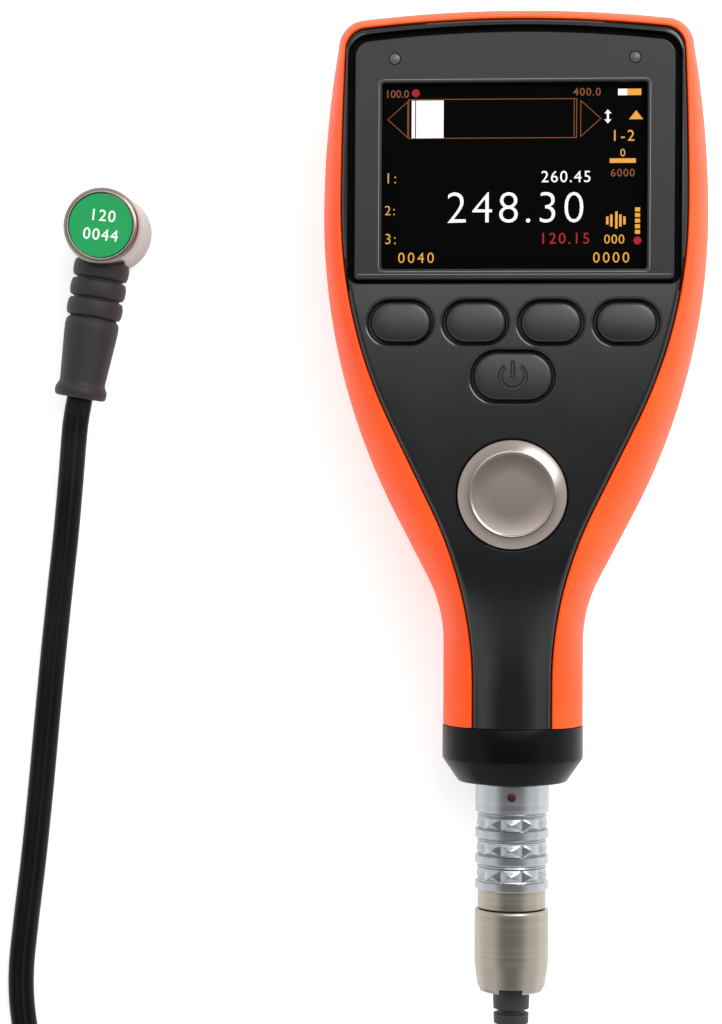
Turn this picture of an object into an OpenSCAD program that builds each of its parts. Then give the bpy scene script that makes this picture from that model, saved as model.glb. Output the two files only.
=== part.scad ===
// Handheld ultrasonic thickness gauge with a twin element probe on a lead.
// The gauge lies on its back, face up: X across, Y towards the display end, Z up.
// The origin is on the back, half way along the body.

/* [Housing] */
// Length of the body, display end to the end of the collar
body_length = 146.4; // [140:0.2:156]
// Width of the head at its widest
head_width = 72.8; // [70:0.2:80]
// Depth of the head, back to face
body_depth = 36.4; // [35:0.2:42]
// Diameter of the round neck
neck_d = 26.6; // [25:0.2:29]
// Height of the neck's axis over the back
neck_axis = 17; // [16:0.2:19]
// Radius of the long curve of each side
side_radius = 122; // [116:1:130]
// Slope of the straight part of each side, from the centre line
flare = 27.5; // [26:0.5:29]
// Wall of the case halves
case_wall = 2; // [1.8:0.1:2.4]
// Length of the collar that stands past the case halves
collar_reach = 10.9; // [9.5:0.1:12]

/* [Bumper] */
// Thickness of the rubber bumper on the sides
bumper_wall = 2.2; // [1.8:0.1:2.6]
// Thickness of the bumper's edge beside the face
lip_t = 1.6; // [1.2:0.1:2]
// Width of the bumper's edge beside the face, at the head
edge_w = 4.2; // [3.6:0.1:5.2]
// Width of the bumper's edge beside the face, at the neck
neck_edge_w = 5.65; // [5:0.05:6.3]

/* [Display] */
// Width of the face left beside the bezel
bezel_side = 2.8; // [2.4:0.1:3.4]
// Length of the neck and keypad, from the collar to the display bezel
bezel_reach = 83; // [82:0.2:84]
// Thickness of the display bezel
bezel_t = 1.5; // [1.2:0.1:1.8]
// Width of the bezel beside the screen
frame_w = 5.1; // [4.6:0.1:6]
// Height of the bezel over the screen, where the lamps are
frame_top = 9.3; // [8.6:0.1:10.4]
// Thickness of the window
window_t = 0.8; // [0.6:0.1:1]
// Thickness of the liquid crystal panel
lcd_t = 2.2; // [1.8:0.1:2.6]

/* [Keys] */
// Space between two soft keys
key_space = 2.6; // [2:0.1:3.4]
// Height of a soft key along the body
key_h = 7.4; // [6.6:0.1:8]
// Width of the power key
power_w = 14.6; // [13:0.1:16]
// Height of the power key along the body
power_h = 8.8; // [8:0.1:9.2]
// Travel of a key
key_travel = 0.8; // [0.5:0.1:1]
// Gap round a key
key_gap = 0.4; // [0.3:0.05:0.6]

/* [Zero disc] */
// Diameter of the steel zero disc
disc_d = 20.1; // [18:0.1:21]
// Diameter of its polished flat
disc_flat_d = 15; // [13:0.1:17]
// Height of the disc over the face
disc_proud = 1.4; // [1:0.1:2]

/* [Battery] */
// Diameter of a cell
cell_d = 14.4; // [13.8:0.1:14.6]
// Length of a cell
cell_len = 50.4; // [49:0.1:50.6]
// Thickness of the battery door
door_t = 2; // [1.8:0.1:2.4]
// Opening angle of the battery door
door_open = 95; // [60:5:100]

/* [Connector] */
// Length of the collar's round part
collar_round = 6.3; // [5:0.1:7]
// Diameter of the collar's front rim
collar_rim_d = 20.6; // [19:0.1:22]
// Diameter of the plug's release sleeve
sleeve_d = 14; // [13.6:0.1:14.6]
// Length of the release sleeve
sleeve_len = 21; // [20:0.1:22]
// Travel of the release sleeve
sleeve_travel = 1.2; // [0.8:0.1:1.4]
// Length of the plain ring behind the sleeve
ring_len = 3.2; // [2.8:0.1:4]
// Length of the collet nut
nut_len = 15.7; // [14:0.1:17]
// Length of the bend relief behind the collet nut
relief_len = 14; // [10:0.5:14]

/* [Probe] */
// Diameter of the probe's housing
probe_d = 15; // [14:0.1:17]
// Height of the probe
probe_h = 16; // [15:0.1:18]
// Diameter of the label on the probe
label_d = 12.4; // [11:0.1:13]
// Height of the lead's axis where it enters the probe
boot_axis = 7.6; // [7:0.1:8.4]
// Length of the boot from the probe's axis
boot_reach = 33.6; // [31:0.1:36]
// Diameter of the boot's ribs
boot_rib_d = 11; // [10:0.1:12]

/* [Lead] */
// Width of the twin lead
lead_w = 5.2; // [5:0.1:5.4]
// Thickness of the twin lead, one strand
lead_t = 2.7; // [2.5:0.05:2.8]
// Middle radius of the coil's inmost turn
coil_inner_r = 20.6; // [18:0.1:24]

/* [Hidden] */

// Facets of true round parts, and of round ends in a hull
round_fn = 48;
// How far a cut runs past what it cuts
overrun = 1;
// Gap between mating shells
seam = 0.1;
// Gap between loose neighbours
slack = 0.3;
// Radial clearance of a running fit
running = 0.05;

// Body levels and reaches
y_top = body_length / 2;
y_collar = -body_length / 2;
y_grip = y_collar + collar_reach;
neck_r = neck_d / 2;
head_r = head_width / 2;
split_share = 0.52;
split_z = body_depth * split_share;
mid_share = 0.5;
mid_z = body_depth * mid_share;

// Side outline: straight part of the neck, fillet over it, slow curve at the head, head corner
neck_straight = 15.83;
upper_radius = 175;
neck_fillet = 26;
corner_r = 5.6;
top_bow = 1.5;
// The same for the face between the bumper's edges
face_top_inset = 4.5;
face_straight = 14.7;
face_side_radius = 102;
face_flare = 25.5;
face_neck_fillet = 40;
face_corner_r = 4;
face_upper_radius = 600;
// Steps along the outline
arch_steps = 4;
corner_steps = 7;
upper_steps = 2;
side_steps = 9;
neck_steps = 8;
grip_steps = 2;

// Places along the body, each measured from its neighbour
face_w = head_width - 2 * edge_w;
neck_face_w = neck_d - 2 * neck_edge_w;
bezel_drop = 6.9;
bezel_bottom_y = y_grip + bezel_reach;
bezel_h = y_top - bezel_drop - bezel_bottom_y;
key_row_drop = 7.74;
key_row_y = bezel_bottom_y - key_row_drop;
power_drop = 9.91;
power_y = key_row_y - power_drop;
disc_drop = 21.7;
disc_y = power_y - disc_drop;
// The face is level down to here and falls to the round neck at the lower level
fall_rim = 0.3;
fall_rest = 4.3;
fall_start = disc_y - disc_d / 2 - fall_rim;
fall_end = y_grip + fall_rest;
rise_lead = 7;
rise_rest = 4;
back_rise_start = fall_start + rise_lead;
back_rise_end = fall_end + rise_rest;
// Height of the neck's section where the bumper's edge meets it
neck_edge_h = 10.6;
// Crown of the face strip on the neck
neck_crown = 2;
crown_pull_share = 0.04;
edge_round = 1;
edge_step = 0.3;
bumper_recess = 0.7;
shoulder_drop = 6;
// Fullness of the bumper's outer curve, and its steps
head_power = 1.8;
neck_power = 1.8;
bumper_turn = 22.5;
inner_steps = 4;

function lerp(a, b, t) = a + (b - a) * t;
function clamp01(t) = max(0, min(1, t));
function ease(t) = let (c = clamp01(t)) c * c * (3 - 2 * c);
function unit(v) = v / norm(v);

// Half outline from the middle of the top, round the head, down to the neck's end
function half_outline(w, w_neck, top, bow, corner, y3, r_up, r_side, slope, r_neck, end) =
  let (
    w1 = w - r_side * (1 - cos(slope)),
    w2 = w_neck + r_neck * (1 - cos(slope)),
    y2 = y3 + r_neck * sin(slope),
    y1 = y2 + (w1 - w2) / tan(slope),
    wide = y1 + r_side * sin(slope),
    y_c = top - bow - corner,
    x_c = w - pow(y_c - wide, 2) / (2 * r_up) - corner
  )
  concat(
    [for (i = [0 : arch_steps - 1]) let (s = i / arch_steps) [x_c * s, top - bow * s * s]],
    [for (i = [0 : corner_steps]) let (t = 90 * i / corner_steps)
      [x_c + corner * sin(t), y_c + corner * cos(t)]],
    [for (i = [1 : upper_steps]) let (y = lerp(y_c, wide, i / upper_steps))
      [w - pow(y - wide, 2) / (2 * r_up), y]],
    [for (i = [1 : side_steps]) let (t = slope * i / side_steps)
      [w - r_side * (1 - cos(t)), wide - r_side * sin(t)]],
    [for (i = [0 : neck_steps]) let (t = slope * (1 - i / neck_steps))
      [w_neck + r_neck * (1 - cos(t)), y3 + r_neck * sin(t)]],
    [for (i = [1 : grip_steps]) [w_neck, lerp(y3, end, i / grip_steps)]]
  );
function outer_half(end) = half_outline(head_r, neck_r, y_top, top_bow, corner_r,
  y_grip + neck_straight, upper_radius, side_radius, flare, neck_fillet, end);
function face_half(end) = half_outline(face_w / 2, neck_face_w / 2,
  y_top - face_top_inset, top_bow, face_corner_r, y_grip + face_straight, face_upper_radius,
  face_side_radius, face_flare, face_neck_fillet, end);

// Half width of the face at a level along the body
function face_x(y) = lookup(y, [for (p = face_half(y_grip)) [p[1], p[0]]]);

// Points moved inwards from the outer outline towards the face outline
function inset_from_outer(end, d) = let (o = outer_half(end), f = face_half(end))
  [for (i = [0 : len(o) - 1]) o[i] + unit(f[i] - o[i]) * d];
function inset_from_face(end, d) = let (o = outer_half(end), f = face_half(end))
  [for (i = [0 : len(o) - 1]) f[i] + unit(f[i] - o[i]) * d];
function between(a, b) = [for (i = [0 : len(a) - 1]) (a[i] + b[i]) / 2];
// Points of the face drawn in towards the centre line for the crown
function drawn_in(pts, share, end) =
  [for (p = pts) [p[0] * share, lerp(end, p[1], 1 - crown_pull_share * (1 - share))]];

// Heights along the body
function fall(y) = ease((fall_start - y) / (fall_start - fall_end));
function rise(y) = ease((back_rise_start - y) / (back_rise_start - back_rise_end));
function face_z(y) = lerp(body_depth, neck_axis + neck_edge_h + bumper_recess, fall(y));
function lip_z(y) = face_z(y) - bumper_recess;
function crown_z(y, share) = face_z(y) + neck_crown * fall(y) * (1 - share * share);
function back_z(y) = lerp(0, neck_axis - neck_edge_h - bumper_recess, rise(y));
function back_lip_z(y) = back_z(y) + bumper_recess;
function back_crown_z(y, share) = back_z(y) - neck_crown * rise(y) * (1 - share * share);
function level_z(y) = lerp(mid_z, neck_axis, fall(y));

// A closed ring of points from a half outline, and the ladder that closes its end
function closed_ring(half) = concat(half,
  [for (i = [len(half) - 1 : -1 : 1]) [-half[i][0], half[i][1], half[i][2]]]);
function flat_ring(half) = [for (p = closed_ring(raised(half, function (y) 0))) [p[0], p[1]]];
function band_faces(rings, n) = [for (r = [0 : len(rings) - 2]) for (i = [0 : n - 1])
  let (a = r * n + i, b = r * n + (i + 1) % n) each [[a, a + n, b], [b, a + n, b + n]]];
function ladder_faces(base, n, up) = let (h = (n - 1) / 2)
  concat([up ? [base, base + 1, base + n - 1] : [base, base + n - 1, base + 1]],
    [for (i = [1 : h - 1]) let (a = base + i, b = base + n - i)
      each (up ? [[a, a + 1, b], [a + 1, b - 1, b]] : [[a, b, a + 1], [a + 1, b, b - 1]])]);

// A solid through rings given from the lowest or inmost cap to the outmost one
module ring_loft(rings) {
  n = len(rings[0]);
  pts = [for (r = rings) each r];
  polyhedron(points = pts, faces = concat(
    [for (f = band_faces(rings, n)) [f[0], f[2], f[1]]],
    ladder_faces(0, n, false),
    ladder_faces(n * (len(rings) - 1), n, true)));
}

// A solid swept along rings that are seen clockwise when looking along the sweep
module swept(rings) {
  n = len(rings[0]);
  last = n * (len(rings) - 1);
  polyhedron(points = [for (r = rings) each r], faces = concat(
    band_faces(rings, n),
    [[for (i = [0 : n - 1]) i], [for (i = [n - 1 : -1 : 0]) last + i]]));
}
function raised(pts, height) = [for (p = pts) [p[0], p[1], height(p[1])]];

// Case halves
face_wall = 2.2;
case_inset = bumper_wall + seam;
edge_wall = 1.6;
seal_t = 0.5;
inner_end = y_grip + case_wall;
crown_shares = [0.66, 0.33];
rear_split_z = split_z - seal_t;
face_inner_z = body_depth - face_wall;
boss_r = 2.5;
pillar_r = 3.2;
screw_r = 1.2;
screw_head_r = 2.3;
screw_head_t = 1.6;
screw_bite = 8;
pilot_r = screw_r + running;
screw_hole_r = screw_r + slack;
head_hole_r = screw_head_r + slack;
head_floor_z = screw_head_t + slack;

// Display stack
bezel_top_z = body_depth - seam;
bezel_floor_z = bezel_top_z - bezel_t;
bezel_corner_r = 3;
bezel_foot_r = 0.8;
bezel_w = face_w - 2 * bezel_side;
frame_low = 2.1;
screen_w = bezel_w - 2 * frame_w;
screen_h = bezel_h - frame_top - frame_low;
screen_y = bezel_bottom_y + frame_low + screen_h / 2;
window_rim = 1.6;
window_z = bezel_floor_z - window_t;
lcd_rim = 2.7;
lcd_z = window_z - seam - lcd_t;
holder_rim = 4.1;
holder_t = 2;
holder_z = lcd_z - holder_t;
led_in = 7.4;
led_drop = 4.9;
led_spot = [bezel_w / 2 - led_in, bezel_bottom_y + bezel_h - led_drop];
led_r = 0.95;
led_dome_share = 1.8;
led_proud_share = 0.3;

// Main board
board_t = 1.6;
leg_h = 2.8;
board_top_z = holder_z - leg_h;
board_z = board_top_z - board_t;
board_inset = 3;
leg_in = 4.3;
leg_low = 1.1;
leg_x = screen_w / 2 - leg_in;
leg_y = screen_h / 2 - leg_low;
leg_spots = [for (a = [-1, 1]) for (b = [-1, 1]) [a * leg_x, screen_y + b * leg_y]];
leg_r = 1.6;
board_reach = 15.35;
board_low_y = disc_y - board_reach;
post_r = 2;

// Keys
key_count = 4;
row_edge = 2.7;
row_w = 2 * (face_x(key_row_y - key_h / 2) - row_edge);
key_w = (row_w - (key_count - 1) * key_space) / key_count;
key_pitch = key_w + key_space;
key_proud = 0.3;
key_dome_r = 26;
power_dome_r = 44;
mat_t = 1.2;
mat_z = face_inner_z - mat_t;
mat_under = 2.25;
mat_over = 1.04;
mat_low_y = power_y - power_h / 2 - mat_under;
mat_high_y = key_row_y + key_h / 2 + mat_over;
mat_inset = 2.1;
flange_rim = 0.8;
flange_t = 1;
flange_z = mat_z - seam - flange_t;
plunger_r = 1.5;
dome_r = 2.4;
dome_h = 0.6;
dome_shoulder_share = 0.75;
dome_flat_share = 0.4;
dome_step_share = 0.6;
plunger_z = board_top_z + dome_h + key_travel + slack;
sign_r = 2.1;
sign_line = 0.5;
sign_depth = 0.35;
sign_gap = 60;

// Zero disc
disc_seat = 1.4;
disc_wall_share = 0.35;
disc_bevel_share = 0.3;
disc_slope_share = 0.7;
disc_lip_share = 0.2;
disc_flat_share = 0.9;

// Battery bay
door_drop = 70;
door_low_y = y_top - door_drop;
door_gap = 0.2;
cell_gap = 0.9;
bay_side = 0.3;
door_land = 2.4;
bay_half_w = cell_d + cell_gap / 2 + bay_side;
door_half_w = bay_half_w + door_land;
bead_lift = 0.2;
bead_r = door_t + bead_lift;
bead_room = 3;
bead_swing = bead_r + slack + door_gap;
bay_lead = 3;
bay_low_y = door_low_y + bay_lead;
contact_room = 1.7;
bay_high_y = bay_low_y + cell_len + 2 * contact_room;
bead_y = bay_high_y + bead_room;
bay_wall = 1.4;
gasket_t = 0.5;
gasket_rim = bead_room - bead_r - seam;
gasket_share = 0.8;
ledge_z = door_t + gasket_t + seam;
ledge_t = 1.6;
cell_x = (cell_d + cell_gap) / 2;
cell_z = ledge_z + slack + cell_d / 2;
bay_roof_z = cell_z + cell_d / 2 + slack;
post_in = 3.15;
post_inset = 7.8;
post_spots = [for (a = [-1, 1]) for (y = [bay_low_y + post_inset, bay_high_y - post_inset])
  [a * (bay_half_w - post_in), y]];
// Case screws: two beside the hinge, two below the bay
screw_in = 6.2;
screw_drop = 9.2;
screw_edge = 4.4;
screw_under = 11.2;
screw_low_y = door_low_y - screw_under;
screw_spots = [for (a = [-1, 1]) each [[a * (face_w / 2 - screw_in), y_top - screw_drop],
  [a * (face_x(screw_low_y) - screw_edge), screw_low_y]]];
contact_t = 0.4;
leaf_share = 0.7;
nub_r = 2.7;
nub_h = 1.4;
tongue_w = 9;
tongue_t = 1;
tongue_h = 1.6;
tongue_inset = 0.5;
tongue_y = door_low_y + tongue_inset;
groove_count = 6;
groove_first = 5;
groove_pitch = 1.8;
groove_w = 14;
groove_h = 0.8;
groove_share = 0.2;

// Connector, measured along its axis from the case end
collar_r = neck_r + seam;
collar_start_y = y_grip - seam;
collar_len = collar_start_y - y_collar;
collar_face_t = 2.4;
socket_r = 5.6;
socket_rim_r = 6.5;
socket_rim_t = 0.5;
socket_back = 9;
wire_way_r = 4;
tube_r = 4.5;
tube_wall = 0.7;
tube_reach = 6.5;
pin_circle_r = 1.9;
pin_r = 0.45;
nut_r = 7.6;
nut_t = 2.2;
plug_y = y_collar - socket_rim_t - door_gap;
sleeve_r = sleeve_d / 2;
body_r = 5.9;
ring_step = 0.6;
ring_r = body_r + ring_step;
ring_overlap = 0.3;
skirt_len = sleeve_travel + ring_overlap + slack;
thread_r = 5.6;
thread_len = 5;
nut_taper_share = 0.66;
nut_end_r = 6;
nut_edge = 0.3;
slot_w = 4.4;
slot_depth = 1;
relief_r = 3.5;
relief_end_r = 3;
relief_seat = 6;
relief_cuts = 4;
relief_cut_share = 0.07;
relief_cut_depth = 0.45;
sleeve_end_y = plug_y - sleeve_len;
nut_start_y = sleeve_end_y - ring_len;
nut_end_y = nut_start_y - nut_len;
relief_end_y = nut_end_y - relief_len;
grip_rows = 3;
grip_row_pitch = 5;
grip_first = 7.4;
grip_columns = 10;
grip_h = 0.55;
grip_band = 3.4;
grip_fill_share = 0.88;
dot_at = 2.7;
dot_r = 0.85;
dot_t = 0.35;

// Probe
probe_x = -80.3;
probe_y = 33.2;
boot_turn = 9.4;
probe_r = probe_d / 2;
probe_wall = 1.3;
probe_roof = 2;
label_t = 0.5;
bevel = 0.7;
delay_h = 3.9;
element_t = 0.5;
barrier_t = 0.5;
stub_r = boot_axis - delay_h - 2 * element_t - seam;
stub_len = 4;
// Boot: ribs, the waists between them, and the lip at its end
boot_sink = 1.2;
rib_count = 3;
rib_len = 3.4;
rib_waist = 0.5;
rib_turn = 30;
rib_power = 0.6;
boot_neck_share = 0.78;
lip_len = 2.6;
lip_rise = 0.6;
lip_round = 0.4;
boot_swell = 1;
boot_crest = 3;
boot_sleeve_shares = [0.95, 0.97, 0.82];
lip_shares = [0.86, 0.93, 0.88];

// Lead
lead_z = lead_t / 2;
coil_x = -50;
coil_y = -176;
coil_gap = 0.5;
layer_gap = 0.6;
coil_pitch = lead_w + coil_gap;
coil_layer = lead_t + layer_gap;
coil_turns = 5.5;
coil_rings = 24;
climb_turns = 0.5;
run_out_share = 1.6;
run_out = run_out_share * lead_w;
strand_turn = 55;
web_share = 0.56;
coil_outer_r = coil_inner_r + coil_pitch * coil_turns / 2;
coil_top_z = lead_z + coil_layer;
plug_route = [[-0.8, -139, 14.6], [-2.4, -145, 11.2], [-4.6, -151, 7.2], [-7.2, -157, 3.8],
  [-9.8, -163, 1.8]];
probe_route = [[-86.9, -160, 3.6], [-88.6, -151.5, 1.9], [-91.6, -143, lead_z], [-95, -134.5, lead_z],
  [-97.5, -125.5, lead_z], [-98.3, -115.5, lead_z], [-97.3, -104, lead_z], [-96, -93, lead_z],
  [-94.5, -78, lead_z], [-93.1, -62, lead_z], [-92, -50, lead_z], [-90.8, -38, lead_z],
  [-89.6, -27, 1.6], [-88.4, -17, 3.4]];

// Common shapes
module round_bar(w, h, t) {
  straight = (w - h) / 2;
  translate([-straight, -h / 2, 0]) cube([2 * straight, h, t]);
  for (side = [-1, 1]) translate([side * straight, 0, 0]) cylinder(d = h, h = t, $fn = round_fn);
}
module plate(w, h, t) {
  translate([-w / 2, -h / 2, 0]) cube([w, h, t]);
}
// Turns +Z to run along the connector's axis, away from the case, from the given level
module on_axis(y) {
  translate([0, y, neck_axis]) rotate([90, 0, 0]) children();
}
// The bezel's outline: an arched top with round corners and two small ones below
function bezel_points(gap) = let (
    w = bezel_w / 2 + gap,
    low = bezel_bottom_y - gap,
    high = bezel_bottom_y + bezel_h + gap,
    r = bezel_corner_r + gap,
    foot = bezel_foot_r + gap,
    right = concat(
      [for (i = [1 : arch_steps]) let (s = i / arch_steps) [(w - r) * s, high - top_bow * s * s]],
      [for (i = [1 : corner_steps]) let (t = 90 * i / corner_steps)
        [w - r + r * sin(t), high - top_bow - r + r * cos(t)]],
      [for (i = [0 : corner_steps]) let (t = 90 * i / corner_steps)
        [w - foot + foot * cos(t), low + foot - foot * sin(t)]]),
    n = len(right))
  concat([[0, high]], right, [for (i = [n - 1 : -1 : 0]) [-right[i][0], right[i][1]]]);

// Case
function shoulder_z(y) = lip_z(y) - shoulder_drop;
function back_shoulder_z(y) = back_lip_z(y) + shoulder_drop;

module front_shell() {
  rim = inset_from_face(y_grip, seam + edge_round);
  halfway = between(inset_from_outer(y_grip, case_inset), inset_from_face(y_grip, seam));
  ring_loft([for (half = concat(
    [raised(inset_from_face(inner_end, edge_wall), function (y) face_z(y) - face_wall),
     raised(inset_from_outer(inner_end, case_inset + case_wall),
       function (y) shoulder_z(y) - case_wall),
     raised(inset_from_outer(inner_end, case_inset + case_wall), function (y) split_z),
     raised(inset_from_outer(y_grip, case_inset), function (y) split_z),
     raised(inset_from_outer(y_grip, case_inset), function (y) shoulder_z(y) - seam),
     raised(halfway, function (y) lip_z(y) - (lip_t + shoulder_drop) / 2 - seam),
     raised(inset_from_face(y_grip, seam), function (y) lip_z(y) - lip_t - seam),
     raised(inset_from_face(y_grip, seam), function (y) face_z(y) - edge_round),
     raised(inset_from_face(y_grip, seam + edge_step), function (y) face_z(y) - edge_step),
     raised(rim, function (y) face_z(y))],
    [for (share = crown_shares) raised(drawn_in(rim, share, y_grip),
      function (y) crown_z(y, share))])) closed_ring(half)]);
}

module front_case() {
  color("dimgray") difference() {
    union() {
      front_shell();
      for (spot = screw_spots) translate([spot[0], spot[1], split_z])
        cylinder(r = boss_r, h = face_inner_z - split_z + overrun / 2, $fn = round_fn);
    }
    // Seat of the bezel, and the hole for the window under it
    translate([0, 0, bezel_floor_z]) linear_extrude(body_depth) polygon(bezel_points(slack));
    translate([0, screen_y, face_inner_z - overrun])
      plate(screen_w + 2 * window_rim + slack, screen_h + 2 * window_rim + slack, face_wall);
    for (side = [-1, 1]) translate([side * led_spot[0], led_spot[1], face_inner_z - overrun])
      cylinder(r = led_r + running, h = face_wall, $fn = round_fn);
    for (i = [1 : key_count]) translate([key_x(i), key_row_y, face_inner_z - overrun])
      round_bar(key_w + 2 * key_gap, key_h + 2 * key_gap, face_wall + 2 * overrun);
    translate([0, power_y, face_inner_z - overrun])
      round_bar(power_w + 2 * key_gap, power_h + 2 * key_gap, face_wall + 2 * overrun);
    translate([0, disc_y, body_depth - disc_seat])
      cylinder(r = disc_d / 2 + running, h = disc_seat + overrun, $fn = round_fn);
    for (spot = screw_spots) translate([spot[0], spot[1], split_z - overrun])
      cylinder(r = pilot_r, h = screw_bite + overrun, $fn = round_fn);
  }
}
function key_x(i) = (i - (key_count + 1) / 2) * key_pitch;

module rear_shell() {
  rim = inset_from_face(y_grip, seam + edge_round);
  halfway = between(inset_from_outer(y_grip, case_inset), inset_from_face(y_grip, seam));
  ring_loft([for (half = concat(
    [for (i = [len(crown_shares) - 1 : -1 : 0]) raised(drawn_in(rim, crown_shares[i], y_grip),
      function (y) back_crown_z(y, crown_shares[i]))],
    [raised(rim, function (y) back_z(y)),
     raised(inset_from_face(y_grip, seam + edge_step), function (y) back_z(y) + edge_step),
     raised(inset_from_face(y_grip, seam), function (y) back_z(y) + edge_round),
     raised(inset_from_face(y_grip, seam), function (y) back_lip_z(y) + lip_t + seam),
     raised(halfway, function (y) back_lip_z(y) + (lip_t + shoulder_drop) / 2 + seam),
     raised(inset_from_outer(y_grip, case_inset), function (y) back_shoulder_z(y) + seam),
     raised(inset_from_outer(y_grip, case_inset), function (y) rear_split_z),
     raised(inset_from_outer(inner_end, case_inset + case_wall), function (y) rear_split_z),
     raised(inset_from_outer(inner_end, case_inset + case_wall),
       function (y) back_shoulder_z(y) + case_wall),
     raised(inset_from_face(inner_end, edge_wall), function (y) back_z(y) + case_wall)]))
    closed_ring(half)]);
}

module rear_case() {
  door_hole_w = 2 * (door_half_w + door_gap);
  door_hole_len = bead_y - door_low_y + door_gap;
  color([0.13, 0.13, 0.14]) difference() {
    union() {
      rear_shell();
      // Walls and roof of the battery bay, with the ledge that the door closes on
      translate([-bay_half_w - bay_wall, bay_low_y - bay_wall, case_wall / 2])
        cube([2 * (bay_half_w + bay_wall), bay_high_y - bay_low_y + 2 * bay_wall,
          bay_roof_z + bay_wall - case_wall / 2]);
      translate([-door_half_w - bay_wall, door_low_y - door_gap - bay_wall, case_wall / 2])
        cube([2 * (door_half_w + bay_wall), door_hole_len + 2 * bay_wall + bead_r,
          ledge_z + ledge_t - case_wall / 2]);
      for (spot = screw_spots) translate([spot[0], spot[1], case_wall / 2])
        cylinder(r = pillar_r, h = rear_split_z - case_wall / 2, $fn = round_fn);
      for (spot = post_spots) translate([spot[0], spot[1], bay_roof_z + bay_wall / 2])
        cylinder(r = post_r, h = board_z - bay_roof_z - bay_wall / 2, $fn = round_fn);
    }
    translate([-bay_half_w, bay_low_y, -overrun])
      cube([2 * bay_half_w, bay_high_y - bay_low_y, bay_roof_z + overrun]);
    translate([-door_hole_w / 2, door_low_y - door_gap, -overrun])
      cube([door_hole_w, door_hole_len, ledge_z + overrun]);
    // Round seat of the hinge bead, open towards the back for the door's swing
    translate([-door_hole_w / 2, bead_y, bead_r]) rotate([0, 90, 0])
      cylinder(r = bead_r + door_gap, h = door_hole_w, $fn = round_fn);
    translate([-door_hole_w / 2, bead_y - overrun, -overrun])
      cube([door_hole_w, bead_swing + overrun, bead_r + overrun]);
    for (spot = screw_spots) translate([spot[0], spot[1], -overrun]) {
      cylinder(r = screw_hole_r, h = split_z + 2 * overrun, $fn = round_fn);
      cylinder(r = head_hole_r, h = head_floor_z + overrun, $fn = round_fn);
    }
    // Pocket for the door's tongue, and the way for the wires to the socket
    translate([-tongue_w / 2 - slack, tongue_y - slack, -overrun])
      cube([tongue_w + 2 * slack, tongue_t + 2 * slack, ledge_z + tongue_h + slack + overrun]);
    on_axis(inner_end + overrun) cylinder(r = wire_way_r, h = case_wall + 2 * overrun, $fn = round_fn);
  }
}

module bumper() {
  o = outer_half(y_grip);
  f = face_half(y_grip);
  n = len(o);
  // A point laid inwards from the outer outline, at the height that its own level has
  function lay(i, side, u, height) = let (p = o[i] + unit(f[i] - o[i]) * u)
    [side * p[0], p[1], height(p[1])];
  function bulge(t, power) = function (y) let (mid = level_z(y))
    mid + ((t < 0 ? back_lip_z(y) : lip_z(y)) - mid) * pow(abs(sin(t)), power);
  function section(i, side) = let (
      b = norm(f[i] - o[i]),
      half = (b + bumper_wall) / 2,
      power = 2 / lerp(head_power, neck_power, fall(o[i][1])))
    concat(
      [for (t = [-90 : bumper_turn : 90]) lay(i, side, b * (1 - pow(cos(t), power)), bulge(t, power))],
      [lay(i, side, b, function (y) lip_z(y) - lip_t),
       lay(i, side, half, function (y) lip_z(y) - (lip_t + shoulder_drop) / 2),
       for (j = [0 : inner_steps]) lay(i, side, bumper_wall,
         function (y) lerp(shoulder_z(y), back_shoulder_z(y), j / inner_steps)),
       lay(i, side, half, function (y) back_lip_z(y) + (lip_t + shoulder_drop) / 2),
       lay(i, side, b, function (y) back_lip_z(y) + lip_t)]);
  rings = [for (i = [n - 1 : -1 : 0]) section(i, -1), for (i = [1 : n - 1]) section(i, 1)];
  k = len(rings[0]);
  last = k * (len(rings) - 1);
  // Each quad is split along the diagonal that the case's own quads have
  color("orangered") polyhedron(points = [for (r = rings) each r], faces = concat(
    [for (r = [0 : len(rings) - 2]) for (j = [0 : k - 1]) let (a = r * k + j, b = r * k + (j + 1) % k)
      each [[a, a + k, b + k], [a, b + k, b]]],
    [for (j = [0 : k / 2 - 2]) let (a = j, b = k - 1 - j) each [[a, a + 1, b], [a + 1, b - 1, b]]],
    [for (j = [0 : k / 2 - 2]) let (a = last + j, b = last + k - 1 - j)
      each [[a, b, a + 1], [a + 1, b, b - 1]]]));
}

module collar() {
  color([0.08, 0.08, 0.08]) on_axis(collar_start_y) rotate_extrude($fn = round_fn) polygon([
    [collar_rim_d / 2, 0], [collar_r, 0], [collar_r, collar_round],
    [collar_rim_d / 2, collar_len], [socket_r + running, collar_len],
    [socket_r + running, collar_len - collar_face_t],
    [collar_rim_d / 2 - edge_round, collar_len - collar_face_t], [collar_rim_d / 2 - edge_round, 0]]);
}

module case_seal() {
  color("gray") translate([0, 0, rear_split_z]) linear_extrude(seal_t) difference() {
    polygon(flat_ring(inset_from_outer(y_grip + seam, case_inset + slack)));
    polygon(flat_ring(inset_from_outer(inner_end - slack, case_inset + case_wall - slack)));
  }
}

module case_screws() {
  color("silver") for (spot = screw_spots) translate([spot[0], spot[1], slack]) difference() {
    union() {
      cylinder(r = screw_head_r, h = screw_head_t, $fn = round_fn);
      cylinder(r = screw_r, h = split_z + screw_bite - 2 * slack, $fn = round_fn);
    }
    for (turn = [0, 90]) rotate([0, 0, turn]) translate([0, 0, -overrun])
      plate(screw_head_r, screw_r / 2, overrun + screw_head_t / 2);
  }
}

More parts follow.
